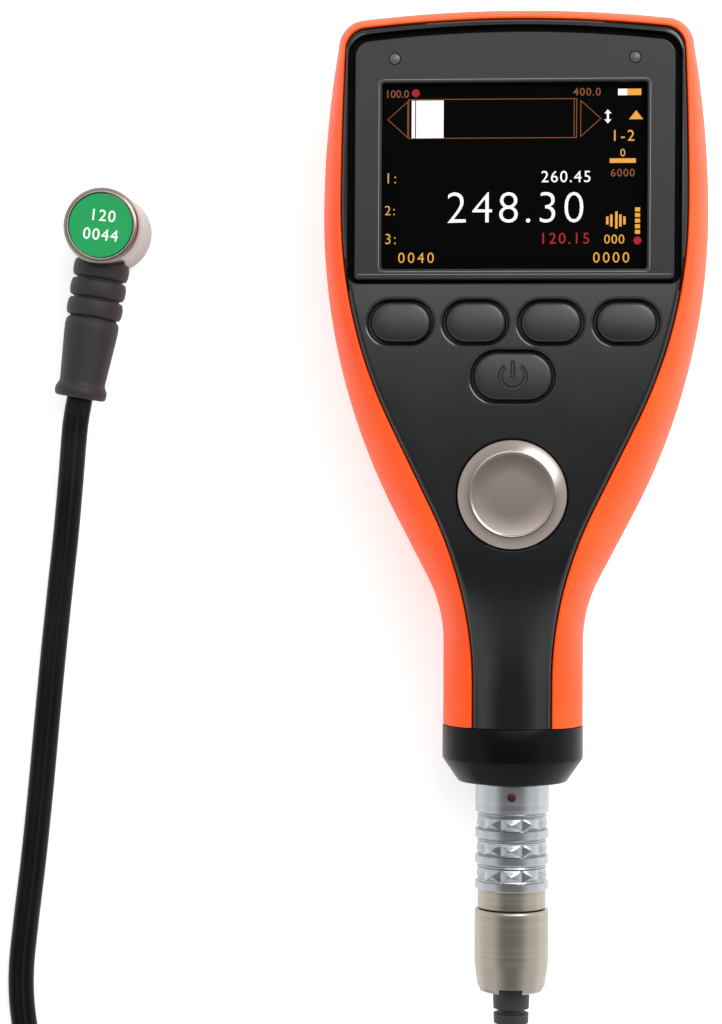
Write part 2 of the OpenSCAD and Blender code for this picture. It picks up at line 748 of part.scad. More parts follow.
// Display
module display_bezel() {
  color([0.2, 0.2, 0.21]) difference() {
    translate([0, 0, bezel_floor_z]) linear_extrude(bezel_t) polygon(bezel_points(0));
    translate([0, screen_y, bezel_floor_z - overrun]) plate(screen_w, screen_h, bezel_t + 2 * overrun);
    for (side = [-1, 1]) translate([side * led_spot[0], led_spot[1], bezel_floor_z - overrun])
      cylinder(r = led_r + running, h = bezel_t + 2 * overrun, $fn = round_fn);
  }
}
module display_window() {
  color("darkslategray", 0.5) translate([0, screen_y, window_z])
    plate(screen_w + 2 * window_rim, screen_h + 2 * window_rim, window_t);
}
module lcd_panel() {
  color("black") translate([0, screen_y, lcd_z])
    plate(screen_w + 2 * lcd_rim, screen_h + 2 * lcd_rim, lcd_t);
}
module lcd_holder() {
  color("whitesmoke") {
    difference() {
      translate([0, screen_y, holder_z])
        plate(screen_w + 2 * holder_rim, screen_h + 2 * holder_rim, holder_t + lcd_t / 2);
      translate([0, screen_y, lcd_z])
        plate(screen_w + 2 * lcd_rim + seam, screen_h + 2 * lcd_rim + seam, lcd_t);
    }
    for (spot = leg_spots) translate([spot[0], spot[1], board_top_z])
      cylinder(r = leg_r, h = leg_h + holder_t / 2, $fn = round_fn);
  }
}
module led_windows() {
  for (side = [-1, 1]) color(side < 0 ? "gray" : "darkgray")
    translate([side * led_spot[0], led_spot[1], face_inner_z]) {
      cylinder(r = led_r, h = bezel_top_z - face_inner_z, $fn = round_fn);
      intersection() {
        translate([0, 0, bezel_top_z - face_inner_z + led_r * (led_proud_share - led_dome_share)])
          sphere(r = led_r * led_dome_share, $fn = round_fn);
        cylinder(r = led_r, h = bezel_top_z, $fn = round_fn);
      }
    }
}

// Keys: a crowned cap, a flange that stops under the mat, and a plunger over its dome
module key(w, h, crown_r) {
  color([0.25, 0.25, 0.26]) {
    intersection() {
      translate([0, 0, flange_z]) round_bar(w, h, body_depth + key_proud - flange_z);
      translate([0, 0, body_depth + key_proud - crown_r]) sphere(r = crown_r, $fn = 4 * round_fn);
    }
    translate([0, 0, flange_z]) round_bar(w + 2 * flange_rim, h + 2 * flange_rim, flange_t);
    translate([0, 0, plunger_z])
      cylinder(r = plunger_r, h = flange_z - plunger_z + flange_t / 2, $fn = round_fn);
  }
}
module soft_key_1() translate([key_x(1), key_row_y, 0]) key(key_w, key_h, key_dome_r);
module soft_key_2() translate([key_x(2), key_row_y, 0]) key(key_w, key_h, key_dome_r);
module soft_key_3() translate([key_x(3), key_row_y, 0]) key(key_w, key_h, key_dome_r);
module soft_key_4() translate([key_x(4), key_row_y, 0]) key(key_w, key_h, key_dome_r);
module power_key() {
  difference() {
    translate([0, power_y, 0]) key(power_w, power_h, power_dome_r);
    // Sunk power sign: an open ring and a bar
    color("black") translate([0, power_y, body_depth + key_proud - sign_depth]) {
      rotate_extrude(angle = 360 - sign_gap, start = 90 + sign_gap / 2, $fn = round_fn)
        translate([sign_r - sign_line / 2, 0]) square([sign_line, overrun]);
      translate([-sign_line / 2, 0, 0]) cube([sign_line, sign_r + sign_line, overrun]);
    }
  }
}

module keypad_mat() {
  color([0.22, 0.22, 0.23]) difference() {
    intersection() {
      translate([0, 0, mat_z]) linear_extrude(mat_t - seam)
        polygon(flat_ring(inset_from_face(inner_end, mat_inset)));
      translate([-head_r, mat_low_y, mat_z - overrun])
        cube([head_width, mat_high_y - mat_low_y, mat_t + 2 * overrun]);
    }
    for (i = [1 : key_count]) translate([key_x(i), key_row_y, mat_z - overrun])
      round_bar(key_w + 2 * key_gap, key_h + 2 * key_gap, mat_t + 2 * overrun);
    translate([0, power_y, mat_z - overrun])
      round_bar(power_w + 2 * key_gap, power_h + 2 * key_gap, mat_t + 2 * overrun);
  }
}
module key_domes() {
  color("gold") for (spot = concat([for (i = [1 : key_count]) [key_x(i), key_row_y]], [[0, power_y]]))
    translate([spot[0], spot[1], board_top_z]) rotate_extrude($fn = round_fn)
      polygon([[0, 0], [dome_r, 0], [dome_r * dome_shoulder_share, dome_h * dome_step_share],
        [dome_r * dome_flat_share, dome_h], [0, dome_h]]);
}
module main_pcb() {
  color("darkgreen") difference() {
    intersection() {
      translate([0, 0, board_z]) linear_extrude(board_t)
        polygon(flat_ring(inset_from_face(inner_end, board_inset)));
      translate([-head_r, board_low_y, board_z - overrun])
        cube([head_width, body_length, board_t + 2 * overrun]);
    }
    for (spot = screw_spots) translate([spot[0], spot[1], board_z - overrun])
      cylinder(r = boss_r + slack, h = board_t + 2 * overrun, $fn = round_fn);
  }
}

module zero_disc() {
  r = disc_d / 2;
  flat_z = disc_seat + disc_proud * disc_flat_share;
  color("silver") translate([0, disc_y, body_depth - disc_seat]) rotate_extrude($fn = 2 * round_fn)
    polygon([[0, 0], [r, 0], [r, disc_seat + disc_proud * disc_wall_share],
      [r - disc_proud * disc_bevel_share, disc_seat + disc_proud * disc_slope_share],
      [disc_flat_d / 2 + disc_proud * disc_lip_share, disc_seat + disc_proud],
      [disc_flat_d / 2, flat_z], [0, flat_z]]);
}

// Battery
module battery_cells() {
  for (side = [-1, 1]) translate([side * cell_x, bay_low_y + contact_room, cell_z])
    rotate([-90, 0, 0]) translate([0, 0, side > 0 ? 0 : cell_len])
    mirror([0, 0, side > 0 ? 0 : 1]) color("goldenrod") {
      cylinder(d = cell_d, h = cell_len - nub_h, $fn = round_fn);
      cylinder(r = nub_r, h = cell_len, $fn = round_fn);
    }
}
module battery_contacts() {
  color("silver") for (end = [0, 1])
    translate([0, end ? bay_high_y : bay_low_y, cell_z]) mirror([0, end, 0]) {
    // One plate joins the two cells at the display end
    if (end) translate([-cell_x, 0, -nub_r]) cube([2 * cell_x, contact_t, 2 * nub_r]);
    for (side = [-1, 1]) translate([side * cell_x, 0, 0]) {
      translate([-nub_r, 0, -nub_r]) cube([2 * nub_r, contact_t, 2 * nub_r]);
      // Bent leaf that presses on the cell's end
      intersection() {
        translate([-nub_r * leaf_share, contact_t / 2, 0]) rotate([0, 90, 0])
          cylinder(r = contact_room - contact_t / 2 - seam, h = 2 * nub_r * leaf_share, $fn = round_fn);
        translate([-nub_r, 0, -nub_r]) cube([2 * nub_r, contact_room, 2 * nub_r]);
      }
    }
  }
}
module battery_door() {
  color([0.13, 0.13, 0.14]) difference() {
    union() {
      translate([-door_half_w, door_low_y, 0]) cube([2 * door_half_w, bead_y - door_low_y, door_t]);
      translate([-door_half_w, bead_y, bead_r]) rotate([0, 90, 0])
        cylinder(r = bead_r, h = 2 * door_half_w, $fn = round_fn);
      translate([-tongue_w / 2, tongue_y, door_t / 2]) cube([tongue_w, tongue_t, door_t / 2 + tongue_h]);
    }
    // Finger grip: a row of shallow grooves near the free edge
    for (i = [0 : groove_count - 1])
      translate([0, door_low_y + groove_first + groove_pitch * i, -overrun])
        round_bar(groove_w, groove_h, overrun + door_t * groove_share);
  }
}
module door_seal() {
  color("gray") translate([0, 0, door_t]) difference() {
    translate([-bay_half_w - door_land * gasket_share, bay_low_y - gasket_rim, 0])
      cube([2 * (bay_half_w + door_land * gasket_share),
        bay_high_y - bay_low_y + 2 * gasket_rim, gasket_t]);
    translate([-bay_half_w - seam, bay_low_y - seam, -overrun])
      cube([2 * (bay_half_w + seam), bay_high_y - bay_low_y + 2 * seam, gasket_t + 2 * overrun]);
  }
}

// Connector
module connector_socket() {
  color("silver") on_axis(y_collar) difference() {
    union() {
      translate([0, 0, -socket_back]) cylinder(r = socket_r, h = socket_back, $fn = round_fn);
      cylinder(r = socket_rim_r, h = socket_rim_t, $fn = round_fn);
    }
    translate([0, 0, -tube_reach - slack])
      cylinder(r = tube_r + running, h = tube_reach + slack + socket_rim_t + overrun, $fn = round_fn);
    // Key notch at the top of the rim
    translate([-dot_r, tube_r, -socket_rim_t]) cube([2 * dot_r, socket_rim_r, 2 * socket_rim_t + overrun]);
  }
}
module socket_nut() {
  color("gray") on_axis(y_collar + collar_face_t + nut_t) difference() {
    cylinder(r = nut_r, h = nut_t, $fn = 6);
    translate([0, 0, -overrun]) cylinder(r = socket_r + running, h = nut_t + 2 * overrun, $fn = round_fn);
  }
}
module plug_shell() {
  body_len = sleeve_len - ring_overlap;
  color([0.7, 0.68, 0.64]) on_axis(plug_y) difference() {
    union() {
      translate([0, 0, plug_y - y_collar - tube_reach])
        cylinder(r = tube_r, h = tube_reach + y_collar - plug_y + overrun, $fn = round_fn);
      cylinder(r = body_r, h = body_len + overrun, $fn = round_fn);
      translate([0, 0, body_len]) cylinder(r = ring_r, h = ring_len + ring_overlap, $fn = round_fn);
      cylinder(r = thread_r, h = sleeve_len + ring_len + thread_len, $fn = round_fn);
    }
    translate([0, 0, plug_y - y_collar - tube_reach - overrun])
      cylinder(r = tube_r - tube_wall, h = tube_reach + overrun, $fn = round_fn);
  }
}
module plug_contacts() {
  color("gold") on_axis(plug_y) for (turn = [45 : 90 : 315]) rotate([0, 0, turn])
    translate([pin_circle_r, 0, plug_y - y_collar - tube_reach + slack])
      cylinder(r = pin_r, h = tube_reach - slack, $fn = round_fn);
}

// One diamond of the grip, a low four sided pyramid on the sleeve
module diamond(w, len, h) {
  root = 2 * seam;
  intersection() {
    translate([0, len / 2, 0]) rotate([90, 0, 0]) linear_extrude(len)
      polygon([[-w / 2, -root], [w / 2, -root], [w / 2, 0], [0, h], [-w / 2, 0]]);
    translate([-w / 2, 0, 0]) rotate([90, 0, 90]) linear_extrude(w)
      polygon([[-len / 2, -root], [len / 2, -root], [len / 2, 0], [0, h], [-len / 2, 0]]);
  }
}
module release_sleeve() {
  step = 360 / grip_columns;
  w = 2 * (sleeve_r - grip_h) * tan(step / 2) * grip_fill_share;
  color("silver") on_axis(plug_y) difference() {
    union() {
      difference() {
        cylinder(r = sleeve_r, h = sleeve_len, $fn = 2 * round_fn);
        for (row = [0 : grip_rows - 1])
          translate([0, 0, grip_first + row * grip_row_pitch - grip_band / 2]) difference() {
            cylinder(r = sleeve_r + overrun, h = grip_band, $fn = 2 * round_fn);
            translate([0, 0, -overrun])
              cylinder(r = sleeve_r - grip_h, h = grip_band + 2 * overrun, $fn = 2 * round_fn);
          }
      }
      for (row = [0 : grip_rows - 1]) for (i = [0 : grip_columns - 1])
        rotate([0, 0, 90 + i * step])
          translate([sleeve_r - grip_h, 0, grip_first + row * grip_row_pitch])
            rotate([0, 90, 0]) diamond(grip_band * grip_fill_share, w, grip_h);
    }
    translate([0, 0, -overrun])
      cylinder(r = body_r + running, h = sleeve_len + 2 * overrun, $fn = round_fn);
    translate([0, 0, sleeve_len - skirt_len])
      cylinder(r = ring_r + running, h = skirt_len + overrun, $fn = round_fn);
    translate([0, sleeve_r - dot_t, dot_at]) rotate([-90, 0, 0])
      cylinder(r = dot_r + running, h = dot_t + overrun, $fn = round_fn);
  }
}
module index_dot() {
  color("red") translate([0, plug_y - dot_at, neck_axis + sleeve_r - dot_t])
    cylinder(r = dot_r, h = dot_t, $fn = round_fn);
}
module collet_nut() {
  r = sleeve_r + running;
  color([0.66, 0.63, 0.58]) on_axis(nut_start_y) difference() {
    rotate_extrude($fn = 2 * round_fn) polygon([
      [thread_r + running, 0], [r - nut_edge, 0], [r, nut_edge], [r, nut_len * nut_taper_share],
      [nut_end_r + nut_edge, nut_len - nut_edge], [nut_end_r, nut_len], [relief_r + running, nut_len],
      [relief_r + running, thread_len + slack], [thread_r + running, thread_len + slack]]);
    // Spanner slots in the rear end
    for (turn = [0, 90]) rotate([0, 0, turn]) translate([0, 0, nut_len - slot_depth])
      plate(slot_w, 2 * sleeve_r + 2 * overrun, slot_depth + overrun);
  }
}
module bend_relief() {
  len = nut_len + relief_len - relief_seat;
  color([0.1, 0.1, 0.1]) on_axis(nut_start_y - relief_seat) difference() {
    rotate_extrude($fn = round_fn) polygon([
      [0, 0], [relief_r, 0], [relief_r, nut_len - relief_seat], [relief_end_r, len], [0, len]]);
    for (i = [1 : relief_cuts])
      translate([0, 0, nut_len - relief_seat + relief_len * i / (relief_cuts + 1)]) difference() {
        cylinder(r = relief_r + overrun, h = relief_len * relief_cut_share, $fn = round_fn);
        translate([0, 0, -overrun])
          cylinder(r = relief_end_r - relief_cut_depth, h = relief_len, $fn = round_fn);
      }
  }
}

// Lead: a pair of strands side by side, laid flat
function twin_section(strand, half) = let (
    r = strand / 2,
    c = half - r,
    lower = [for (t = [0, 1, 2]) [c + r * cos(strand_turn * t), -r * sin(strand_turn * t)]],
    quarter = concat(lower, [[0, -web_share * r]]),
    side = concat(quarter, [for (i = [2 : -1 : 0]) [-lower[i][0], lower[i][1]]]))
  concat(side, [for (i = [5 : -1 : 1]) [side[i][0], -side[i][1]]]);
function flat_section(strand, half) = let (r = strand / 2)
  [[half, 0], [half - r, -r], [r - half, -r], [-half, 0], [r - half, r], [half - r, r]];
function along(pts, i) = let (n = len(pts)) i == 0 ? unit(pts[1] - pts[0])
  : i == n - 1 ? unit(pts[n - 1] - pts[n - 2])
  : unit(unit(pts[i + 1] - pts[i]) + unit(pts[i] - pts[i - 1]));
function lead_ring(p, t, section) = let (side = unit(cross(t, [0, 0, 1])), up = cross(side, t))
  [for (q = section) p + side * q[0] + up * q[1]];
function lead_rings(pts, section) =
  [for (i = [0 : len(pts) - 1]) lead_ring(pts[i], along(pts, i), section)];
function route_length(pts, i = 1) = i >= len(pts) ? 0
  : norm(pts[i] - pts[i - 1]) + route_length(pts, i + 1);

coil_start_x = coil_x + coil_outer_r;
coil_end_x = coil_x - coil_outer_r;
boot_dir = [-sin(boot_turn), -cos(boot_turn), 0];
boot_end = [probe_x, probe_y, boot_axis] + boot_dir * boot_reach;
plug_path = concat([[0, relief_end_y, neck_axis], [0, relief_end_y - lead_w, neck_axis]], plug_route,
  [[coil_start_x, coil_y + run_out, lead_z], [coil_start_x, coil_y + lead_w, lead_z]]);
probe_path = concat([[coil_end_x, coil_y + lead_w, coil_top_z], [coil_end_x, coil_y + run_out, coil_top_z]],
  probe_route, [boot_end + boot_dir * lead_w, boot_end]);
// Flat coil: spirals in on the lower layer, climbs where it turns back, and out on the upper one
function coil_point(turn) = let (
    back = coil_turns / 2,
    r = coil_inner_r + coil_pitch * abs(turn - back),
    z = lead_z + coil_layer * ease((turn - back) / climb_turns + 1 / 2))
  [coil_x + r * cos(360 * turn), coil_y - r * sin(360 * turn), z];
coil_path = concat([[coil_start_x, coil_y + lead_w, lead_z]],
  [for (i = [0 : coil_turns * coil_rings]) coil_point(i / coil_rings)],
  [[coil_end_x, coil_y + lead_w, coil_top_z]]);
function ring_gap(a, b) = min([for (p = a) for (q = b) norm(p - q)]);

module plug_lead() {
  color([0.07, 0.07, 0.07]) swept(lead_rings(plug_path, twin_section(lead_t, lead_w / 2)));
}
module probe_lead() {
  color([0.07, 0.07, 0.07]) swept(lead_rings(probe_path, twin_section(lead_t, lead_w / 2)));
}
module lead_coil() {
  rings = lead_rings(coil_path, flat_section(lead_t, lead_w / 2));
  n = len(rings);
  echo(least_gap = min([for (i = [0 : n - 1]) for (j = [i + coil_rings / 2 : n - 1])
    norm(coil_path[i] - coil_path[j]) < 2 * coil_pitch ? ring_gap(rings[i], rings[j]) : coil_pitch]));
  echo(lead_length = route_length(plug_path) + route_length(coil_path) + route_length(probe_path));
  color([0.07, 0.07, 0.07]) swept(rings);
}

// Probe
module at_probe() {
  translate([probe_x, probe_y, 0]) children();
}
module at_boot(reach) {
  at_probe() translate([0, 0, boot_axis]) rotate([90, 0, -boot_turn])
    translate([0, 0, reach]) children();
}
module probe_housing() {
  r = probe_r;
  color("silver") difference() {
    at_probe() rotate_extrude($fn = 2 * round_fn) polygon([
      [r - probe_wall, 0], [r - bevel / 2, 0], [r, bevel / 2], [r, probe_h - bevel], [r - bevel, probe_h],
      [label_d / 2 + seam, probe_h], [label_d / 2 + seam, probe_h - label_t - seam],
      [0, probe_h - label_t - seam], [0, probe_h - probe_roof], [r - probe_wall, probe_h - probe_roof]]);
    at_boot(r - probe_wall - overrun)
      cylinder(r = stub_r + running, h = probe_wall + 2 * overrun, $fn = round_fn);
  }
}
module probe_label() {
  color("seagreen") at_probe() translate([0, 0, probe_h - label_t - seam])
    cylinder(d = label_d, h = label_t, $fn = 2 * round_fn);
}
module probe_backing() {
  color("dimgray") difference() {
    at_probe() translate([0, 0, delay_h + element_t])
      cylinder(r = probe_r - probe_wall - seam,
        h = probe_h - probe_roof - delay_h - element_t - seam, $fn = round_fn);
    at_boot(probe_r - probe_wall - stub_len / 2)
      cylinder(r = stub_r + seam, h = stub_len, $fn = round_fn);
    at_probe() translate([0, 0, delay_h]) plate(barrier_t + 2 * running, probe_d, 2 * element_t);
  }
}
module half_pair(h, z) {
  difference() {
    at_probe() translate([0, 0, z])
      cylinder(r = probe_r - probe_wall - running, h = h, $fn = round_fn);
    at_probe() translate([0, 0, z - overrun]) plate(barrier_t + 2 * running, probe_d, h + 2 * overrun);
  }
}
module probe_elements() color("khaki") half_pair(element_t, delay_h);
module delay_lines() color("wheat") half_pair(delay_h, 0);
module acoustic_barrier() {
  color("saddlebrown") intersection() {
    at_probe() plate(barrier_t, probe_d, delay_h + 2 * element_t - running);
    at_probe() cylinder(r = probe_r - probe_wall - running, h = probe_h, $fn = round_fn);
  }
}
module probe_boot() {
  rib = boot_rib_d / 2;
  neck = rib * boot_neck_share;
  start = probe_r - probe_wall - stub_len / 2 + seam;
  first = probe_r - boot_sink;
  sleeve_start = first + rib_count * (rib_len + rib_waist);
  lip_start = boot_reach - lip_len;
  color([0.12, 0.12, 0.12]) {
    difference() {
      at_boot(0) rotate_extrude($fn = 2 * round_fn) polygon(concat(
        [[0, first], [neck, first]],
        [for (i = [0 : rib_count - 1]) let (y = first + i * (rib_len + rib_waist)) each
          [for (t = [0 : rib_turn : 180])
            [neck + (rib - neck) * pow(sin(t), rib_power), y + rib_len * (1 - cos(t)) / 2]]],
        [[neck, sleeve_start],
         [rib * boot_sleeve_shares[0], sleeve_start + boot_swell],
         [rib * boot_sleeve_shares[1], sleeve_start + boot_crest],
         [rib * boot_sleeve_shares[2], lip_start - lip_rise],
         [rib * lip_shares[0], lip_start],
         [rib * lip_shares[1], lip_start + lip_round],
         [rib * lip_shares[1], boot_reach - lip_round],
         [rib * lip_shares[2], boot_reach], [0, boot_reach]]));
      at_probe() translate([0, 0, -overrun])
        cylinder(r = probe_r + seam, h = probe_h + 2 * overrun, $fn = 2 * round_fn);
    }
    at_boot(start) cylinder(r = stub_r, h = stub_len + first - start, $fn = round_fn);
  }
}

front_case();
rear_case();
bumper();
collar();
case_seal();
case_screws();
display_bezel();
display_window();
lcd_panel();
lcd_holder();
led_windows();
soft_key_1();
soft_key_2();
soft_key_3();
soft_key_4();
power_key();
keypad_mat();
key_domes();
main_pcb();
zero_disc();
battery_cells();
battery_contacts();
battery_door();
door_seal();
connector_socket();
socket_nut();
plug_shell();
plug_contacts();
release_sleeve();
index_dot();
collet_nut();
bend_relief();
plug_lead();
lead_coil();
probe_lead();
probe_housing();
probe_label();
probe_backing();
probe_elements();
acoustic_barrier();
delay_lines();
probe_boot();
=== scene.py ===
# %% [markdown]
# # A handheld thickness gauge with its probe
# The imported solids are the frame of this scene: they say where every piece is and
# how it moves. Each step below dresses one piece, in the same place, with the
# roundings and the finish of the real one.
from math import cos, pi, radians, sin, sqrt, tan, tau

import bmesh
import bpy
from mathutils import Matrix, Vector


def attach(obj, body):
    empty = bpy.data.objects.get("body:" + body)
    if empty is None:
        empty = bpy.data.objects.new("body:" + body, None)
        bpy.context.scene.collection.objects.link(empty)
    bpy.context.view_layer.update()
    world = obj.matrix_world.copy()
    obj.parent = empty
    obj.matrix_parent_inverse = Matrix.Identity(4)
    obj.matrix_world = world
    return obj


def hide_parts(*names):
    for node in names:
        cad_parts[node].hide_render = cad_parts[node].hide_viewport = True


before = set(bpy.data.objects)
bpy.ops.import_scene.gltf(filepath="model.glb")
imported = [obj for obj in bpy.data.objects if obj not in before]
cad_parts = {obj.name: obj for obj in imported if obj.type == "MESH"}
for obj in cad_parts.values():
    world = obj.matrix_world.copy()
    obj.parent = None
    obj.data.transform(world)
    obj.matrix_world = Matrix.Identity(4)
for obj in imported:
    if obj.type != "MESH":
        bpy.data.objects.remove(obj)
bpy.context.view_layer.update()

MM = 0.001
finishes = {}
scene = bpy.context.scene


def linked(name, data):
    thing = bpy.data.objects.new(name, data)
    scene.collection.objects.link(thing)
    return thing


def aimed(name, data, at, rotation):
    thing = linked(name, data)
    thing.location = at
    thing.rotation_mode = "QUATERNION"
    thing.rotation_quaternion = rotation
    return thing


def baked(thing):
    graph = bpy.context.evaluated_depsgraph_get()
    return bpy.data.meshes.new_from_object(thing.evaluated_get(graph))


def mixed(a, b, t):
    return a + (b - a) * t


def shares(steps):
    return [k / steps for k in range(steps + 1)]


def arc(start, end, steps):
    return [radians(mixed(start, end, t)) for t in shares(steps)]


def eased(t):
    t = max(0.0, min(1.0, t))
    return t * t * (3 - 2 * t)


# %% [markdown]
# ## Camera
# The gauge lies on its back. The camera hangs half a metre over it, a little to the
# right, and is turned so that the gauge stands upright in the picture.

# %% The camera over the table
CAMERA_PLACE = Vector((8.33, -20.0, 500.0)) * MM
CAMERA_TARGET = Vector((-30.61, -22.14, 0.0)) * MM
CAMERA_LENS = 88.76
CAMERA_ROLL = radians(0.31)
camera_data = bpy.data.cameras.new("camera")
camera_data.lens = CAMERA_LENS
camera_data.sensor_width = 36.0
camera_data.clip_start = 0.01
ahead = (CAMERA_TARGET - CAMERA_PLACE).normalized()
across = ahead.cross(Vector((0, 1, 0))).normalized()
turn = Matrix((across, across.cross(ahead), -ahead)).transposed().to_4x4()
turn @= Matrix.Rotation(CAMERA_ROLL, 4, "Z")
scene.camera = aimed("camera", camera_data, CAMERA_PLACE, turn.to_quaternion())
print("the camera looks down from", round(CAMERA_PLACE.z / MM), "mm")

# %% [markdown]
# ## Making pieces
# Most pieces are round, or are walls that follow an outline. One helper spins a
# profile; the other draws a ring of points through a row of rings.

# %% Putting a bmesh in millimetres into the scene as a piece
def mesh_in_metres(name, bm):
    bmesh.ops.scale(bm, vec=(MM, MM, MM), verts=bm.verts)
    mesh = bpy.data.meshes.new(name)
    bm.to_mesh(mesh)
    bm.free()
    return mesh


def place(bm, name, finish, replaces=(), body="case", sharp=35.0):
    mesh = mesh_in_metres(name, bm)
    mesh.materials.append(finishes[finish])
    mesh.shade_smooth()
    mesh.set_sharp_from_angle(angle=radians(sharp))
    piece = linked(name, mesh)
    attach(piece, body)
    if replaces:
        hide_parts(*replaces)
    print(name, "has", len(mesh.polygons), "faces")
    return piece


# %% Spinning a profile of radius and height about Z, closed where it meets the axis
def spun(profile, steps=96, matrix=None, closed=False):
    bm = bmesh.new()
    points = [bm.verts.new((r, 0, h)) for r, h in profile]
    lines = [bm.edges.new(pair) for pair in zip(points, points[1:])]
    if closed:
        lines.append(bm.edges.new((points[-1], points[0])))
    bmesh.ops.spin(bm, geom=points + lines, cent=(0, 0, 0), axis=(0, 0, 1),
                   angle=tau, steps=steps, use_merge=True)
    bmesh.ops.remove_doubles(bm, verts=bm.verts, dist=1e-5)
    bmesh.ops.recalc_face_normals(bm, faces=bm.faces)
    if matrix is not None:
        bmesh.ops.transform(bm, matrix=matrix, verts=bm.verts)
    return bm


# %% Drawing one ring of points through a row of rings
def lofted(rings, cap_first=True, cap_last=True, bm=None):
    bm = bm or bmesh.new()
    count = len(rings[0])
    verts = [bm.verts.new(p) for p in rings[0]]
    edges = [bm.edges.new((verts[i], verts[(i + 1) % count])) for i in range(count)]
    first_edges = edges
    for ring in rings[1:]:
        drawn = bmesh.ops.extrude_edge_only(bm, edges=edges)["geom"]
        fresh = {g for g in drawn if isinstance(g, bmesh.types.BMVert)}
        edges = [g for g in drawn
                 if isinstance(g, bmesh.types.BMEdge) and fresh.issuperset(g.verts)]
        verts = [next(e.other_vert(v) for e in v.link_edges if e.other_vert(v) in fresh)
                 for v in verts]
        for v, p in zip(verts, ring):
            v.co = p
    if cap_first:
        bmesh.ops.contextual_create(bm, geom=first_edges)
    if cap_last:
        bmesh.ops.contextual_create(bm, geom=edges)
    return bm


def outward(bm):
    bmesh.ops.remove_doubles(bm, verts=bm.verts, dist=1e-5)
    bmesh.ops.recalc_face_normals(bm, faces=bm.faces)
    return bm


# %% [markdown]
# ## The lead
# The probe hangs on a flat twin lead: two round strands moulded side by side. Only
# its last stretch is in view; the rest lies in a flat coil past the picture's lower
# edge. One closed tube follows the whole way, from the bend relief to the boot.

# %% The way of the lead, in millimetres
LEAD_W, LEAD_T = 5.2, 2.7
LEAD_Z, LEAD_SUNK, LEAD_STEP = LEAD_T / 2, 3, 2.2
NECK_AXIS = 17.0
RELIEF_END_Y = -127.8
COIL_X, COIL_Y = -50.0, -176.0
COIL_INNER_R, COIL_TURNS = 20.6, 5.5
COIL_PITCH, COIL_LAYER = 5.7, 3.3
COIL_OUTER_R = COIL_INNER_R + COIL_PITCH * COIL_TURNS / 2
COIL_TOP_Z = LEAD_Z + COIL_LAYER
PROBE_X, PROBE_Y = -80.3, 33.2
BOOT_TURN = radians(9.4)
BOOT_AXIS, BOOT_REACH = 7.6, 33.6
boot_along = Vector((-sin(BOOT_TURN), -cos(BOOT_TURN), 0))
boot_end = Vector((PROBE_X, PROBE_Y, BOOT_AXIS)) + boot_along * BOOT_REACH
RUN_OUT = 1.6 * LEAD_W
plug_route = [
    (-0.8, -139, 14.6), (-2.4, -145, 11.2), (-4.6, -151, 7.2), (-7.2, -157, 3.8), (-9.8, -163, 1.8)]
probe_route = [
    (-86.9, -160, 3.6), (-88.6, -151.5, 1.9), (-91.6, -143, LEAD_Z), (-95, -134.5, LEAD_Z),
    (-97.5, -125.5, LEAD_Z), (-98.3, -115.5, LEAD_Z), (-97.3, -104, LEAD_Z), (-96, -93, LEAD_Z),
    (-94.5, -78, LEAD_Z), (-93.1, -62, LEAD_Z), (-92, -50, LEAD_Z), (-90.8, -38, LEAD_Z),
    (-89.6, -27, 1.6), (-88.4, -17, 3.4)]


def coil_point(turns):
    back = COIL_TURNS / 2
    r = COIL_INNER_R + COIL_PITCH * abs(turns - back)
    z = LEAD_Z + COIL_LAYER * eased((turns - back) / 0.5 + 0.5)
    angle = tau * turns
    return (COIL_X + r * cos(angle), COIL_Y - r * sin(angle), z)


COIL_STEPS = 40
start_x, end_x = COIL_X + COIL_OUTER_R, COIL_X - COIL_OUTER_R
lead_marks = [(0, RELIEF_END_Y + d, NECK_AXIS) for d in (LEAD_SUNK, 0, -LEAD_W)]
lead_marks += plug_route + [(start_x, COIL_Y + d, LEAD_Z) for d in (RUN_OUT, LEAD_W)]
lead_marks += [coil_point(k / COIL_STEPS) for k in range(round(COIL_TURNS * COIL_STEPS) + 1)]
lead_marks += [(end_x, COIL_Y + d, COIL_TOP_Z) for d in (LEAD_W, RUN_OUT)] + probe_route
lead_marks += [boot_end + boot_along * d for d in (LEAD_W, 0, -LEAD_SUNK)]


# %% Rounding the way between its marks
def rounded_way(marks, most_steps):
    out = []
    for i, (a, b) in enumerate(zip(marks, marks[1:])):
        before, after = marks[max(i - 1, 0)], marks[min(i + 2, len(marks) - 1)]
        span = (b - a).length
        steps = max(1, min(most_steps, round(span / LEAD_STEP)))
        go_a = (b - before).normalized() * span
        go_b = (after - a).normalized() * span
        for t in shares(steps)[:-1]:
            t2, t3 = t * t, t * t * t
            out.append(a * (2 * t3 - 3 * t2 + 1) + go_a * (t3 - 2 * t2 + t)
                       + b * (3 * t2 - 2 * t3) + go_b * (t3 - t2))
    return out + [marks[-1]]


lead_way = rounded_way([Vector(mark) for mark in lead_marks], 6)
lead_length = sum((b - a).length for a, b in zip(lead_way, lead_way[1:])) - 2 * LEAD_SUNK
print("the lead is", round(lead_length), "mm long, drawn through", len(lead_way), "points")


# %% The section of two strands with a web between, carried level along the way
STRAND_TURN, WEB_SHARE = 118, 0.62


def strand_section():
    r, c = LEAD_T / 2, LEAD_W / 2 - LEAD_T / 2
    right = [(c + r * cos(a), r * sin(a)) for a in arc(-STRAND_TURN, STRAND_TURN, 8)]
    left = [(-x, y) for x, y in reversed(right)]
    return right + [(0, r * WEB_SHARE)] + left + [(0, -r * WEB_SHARE)]


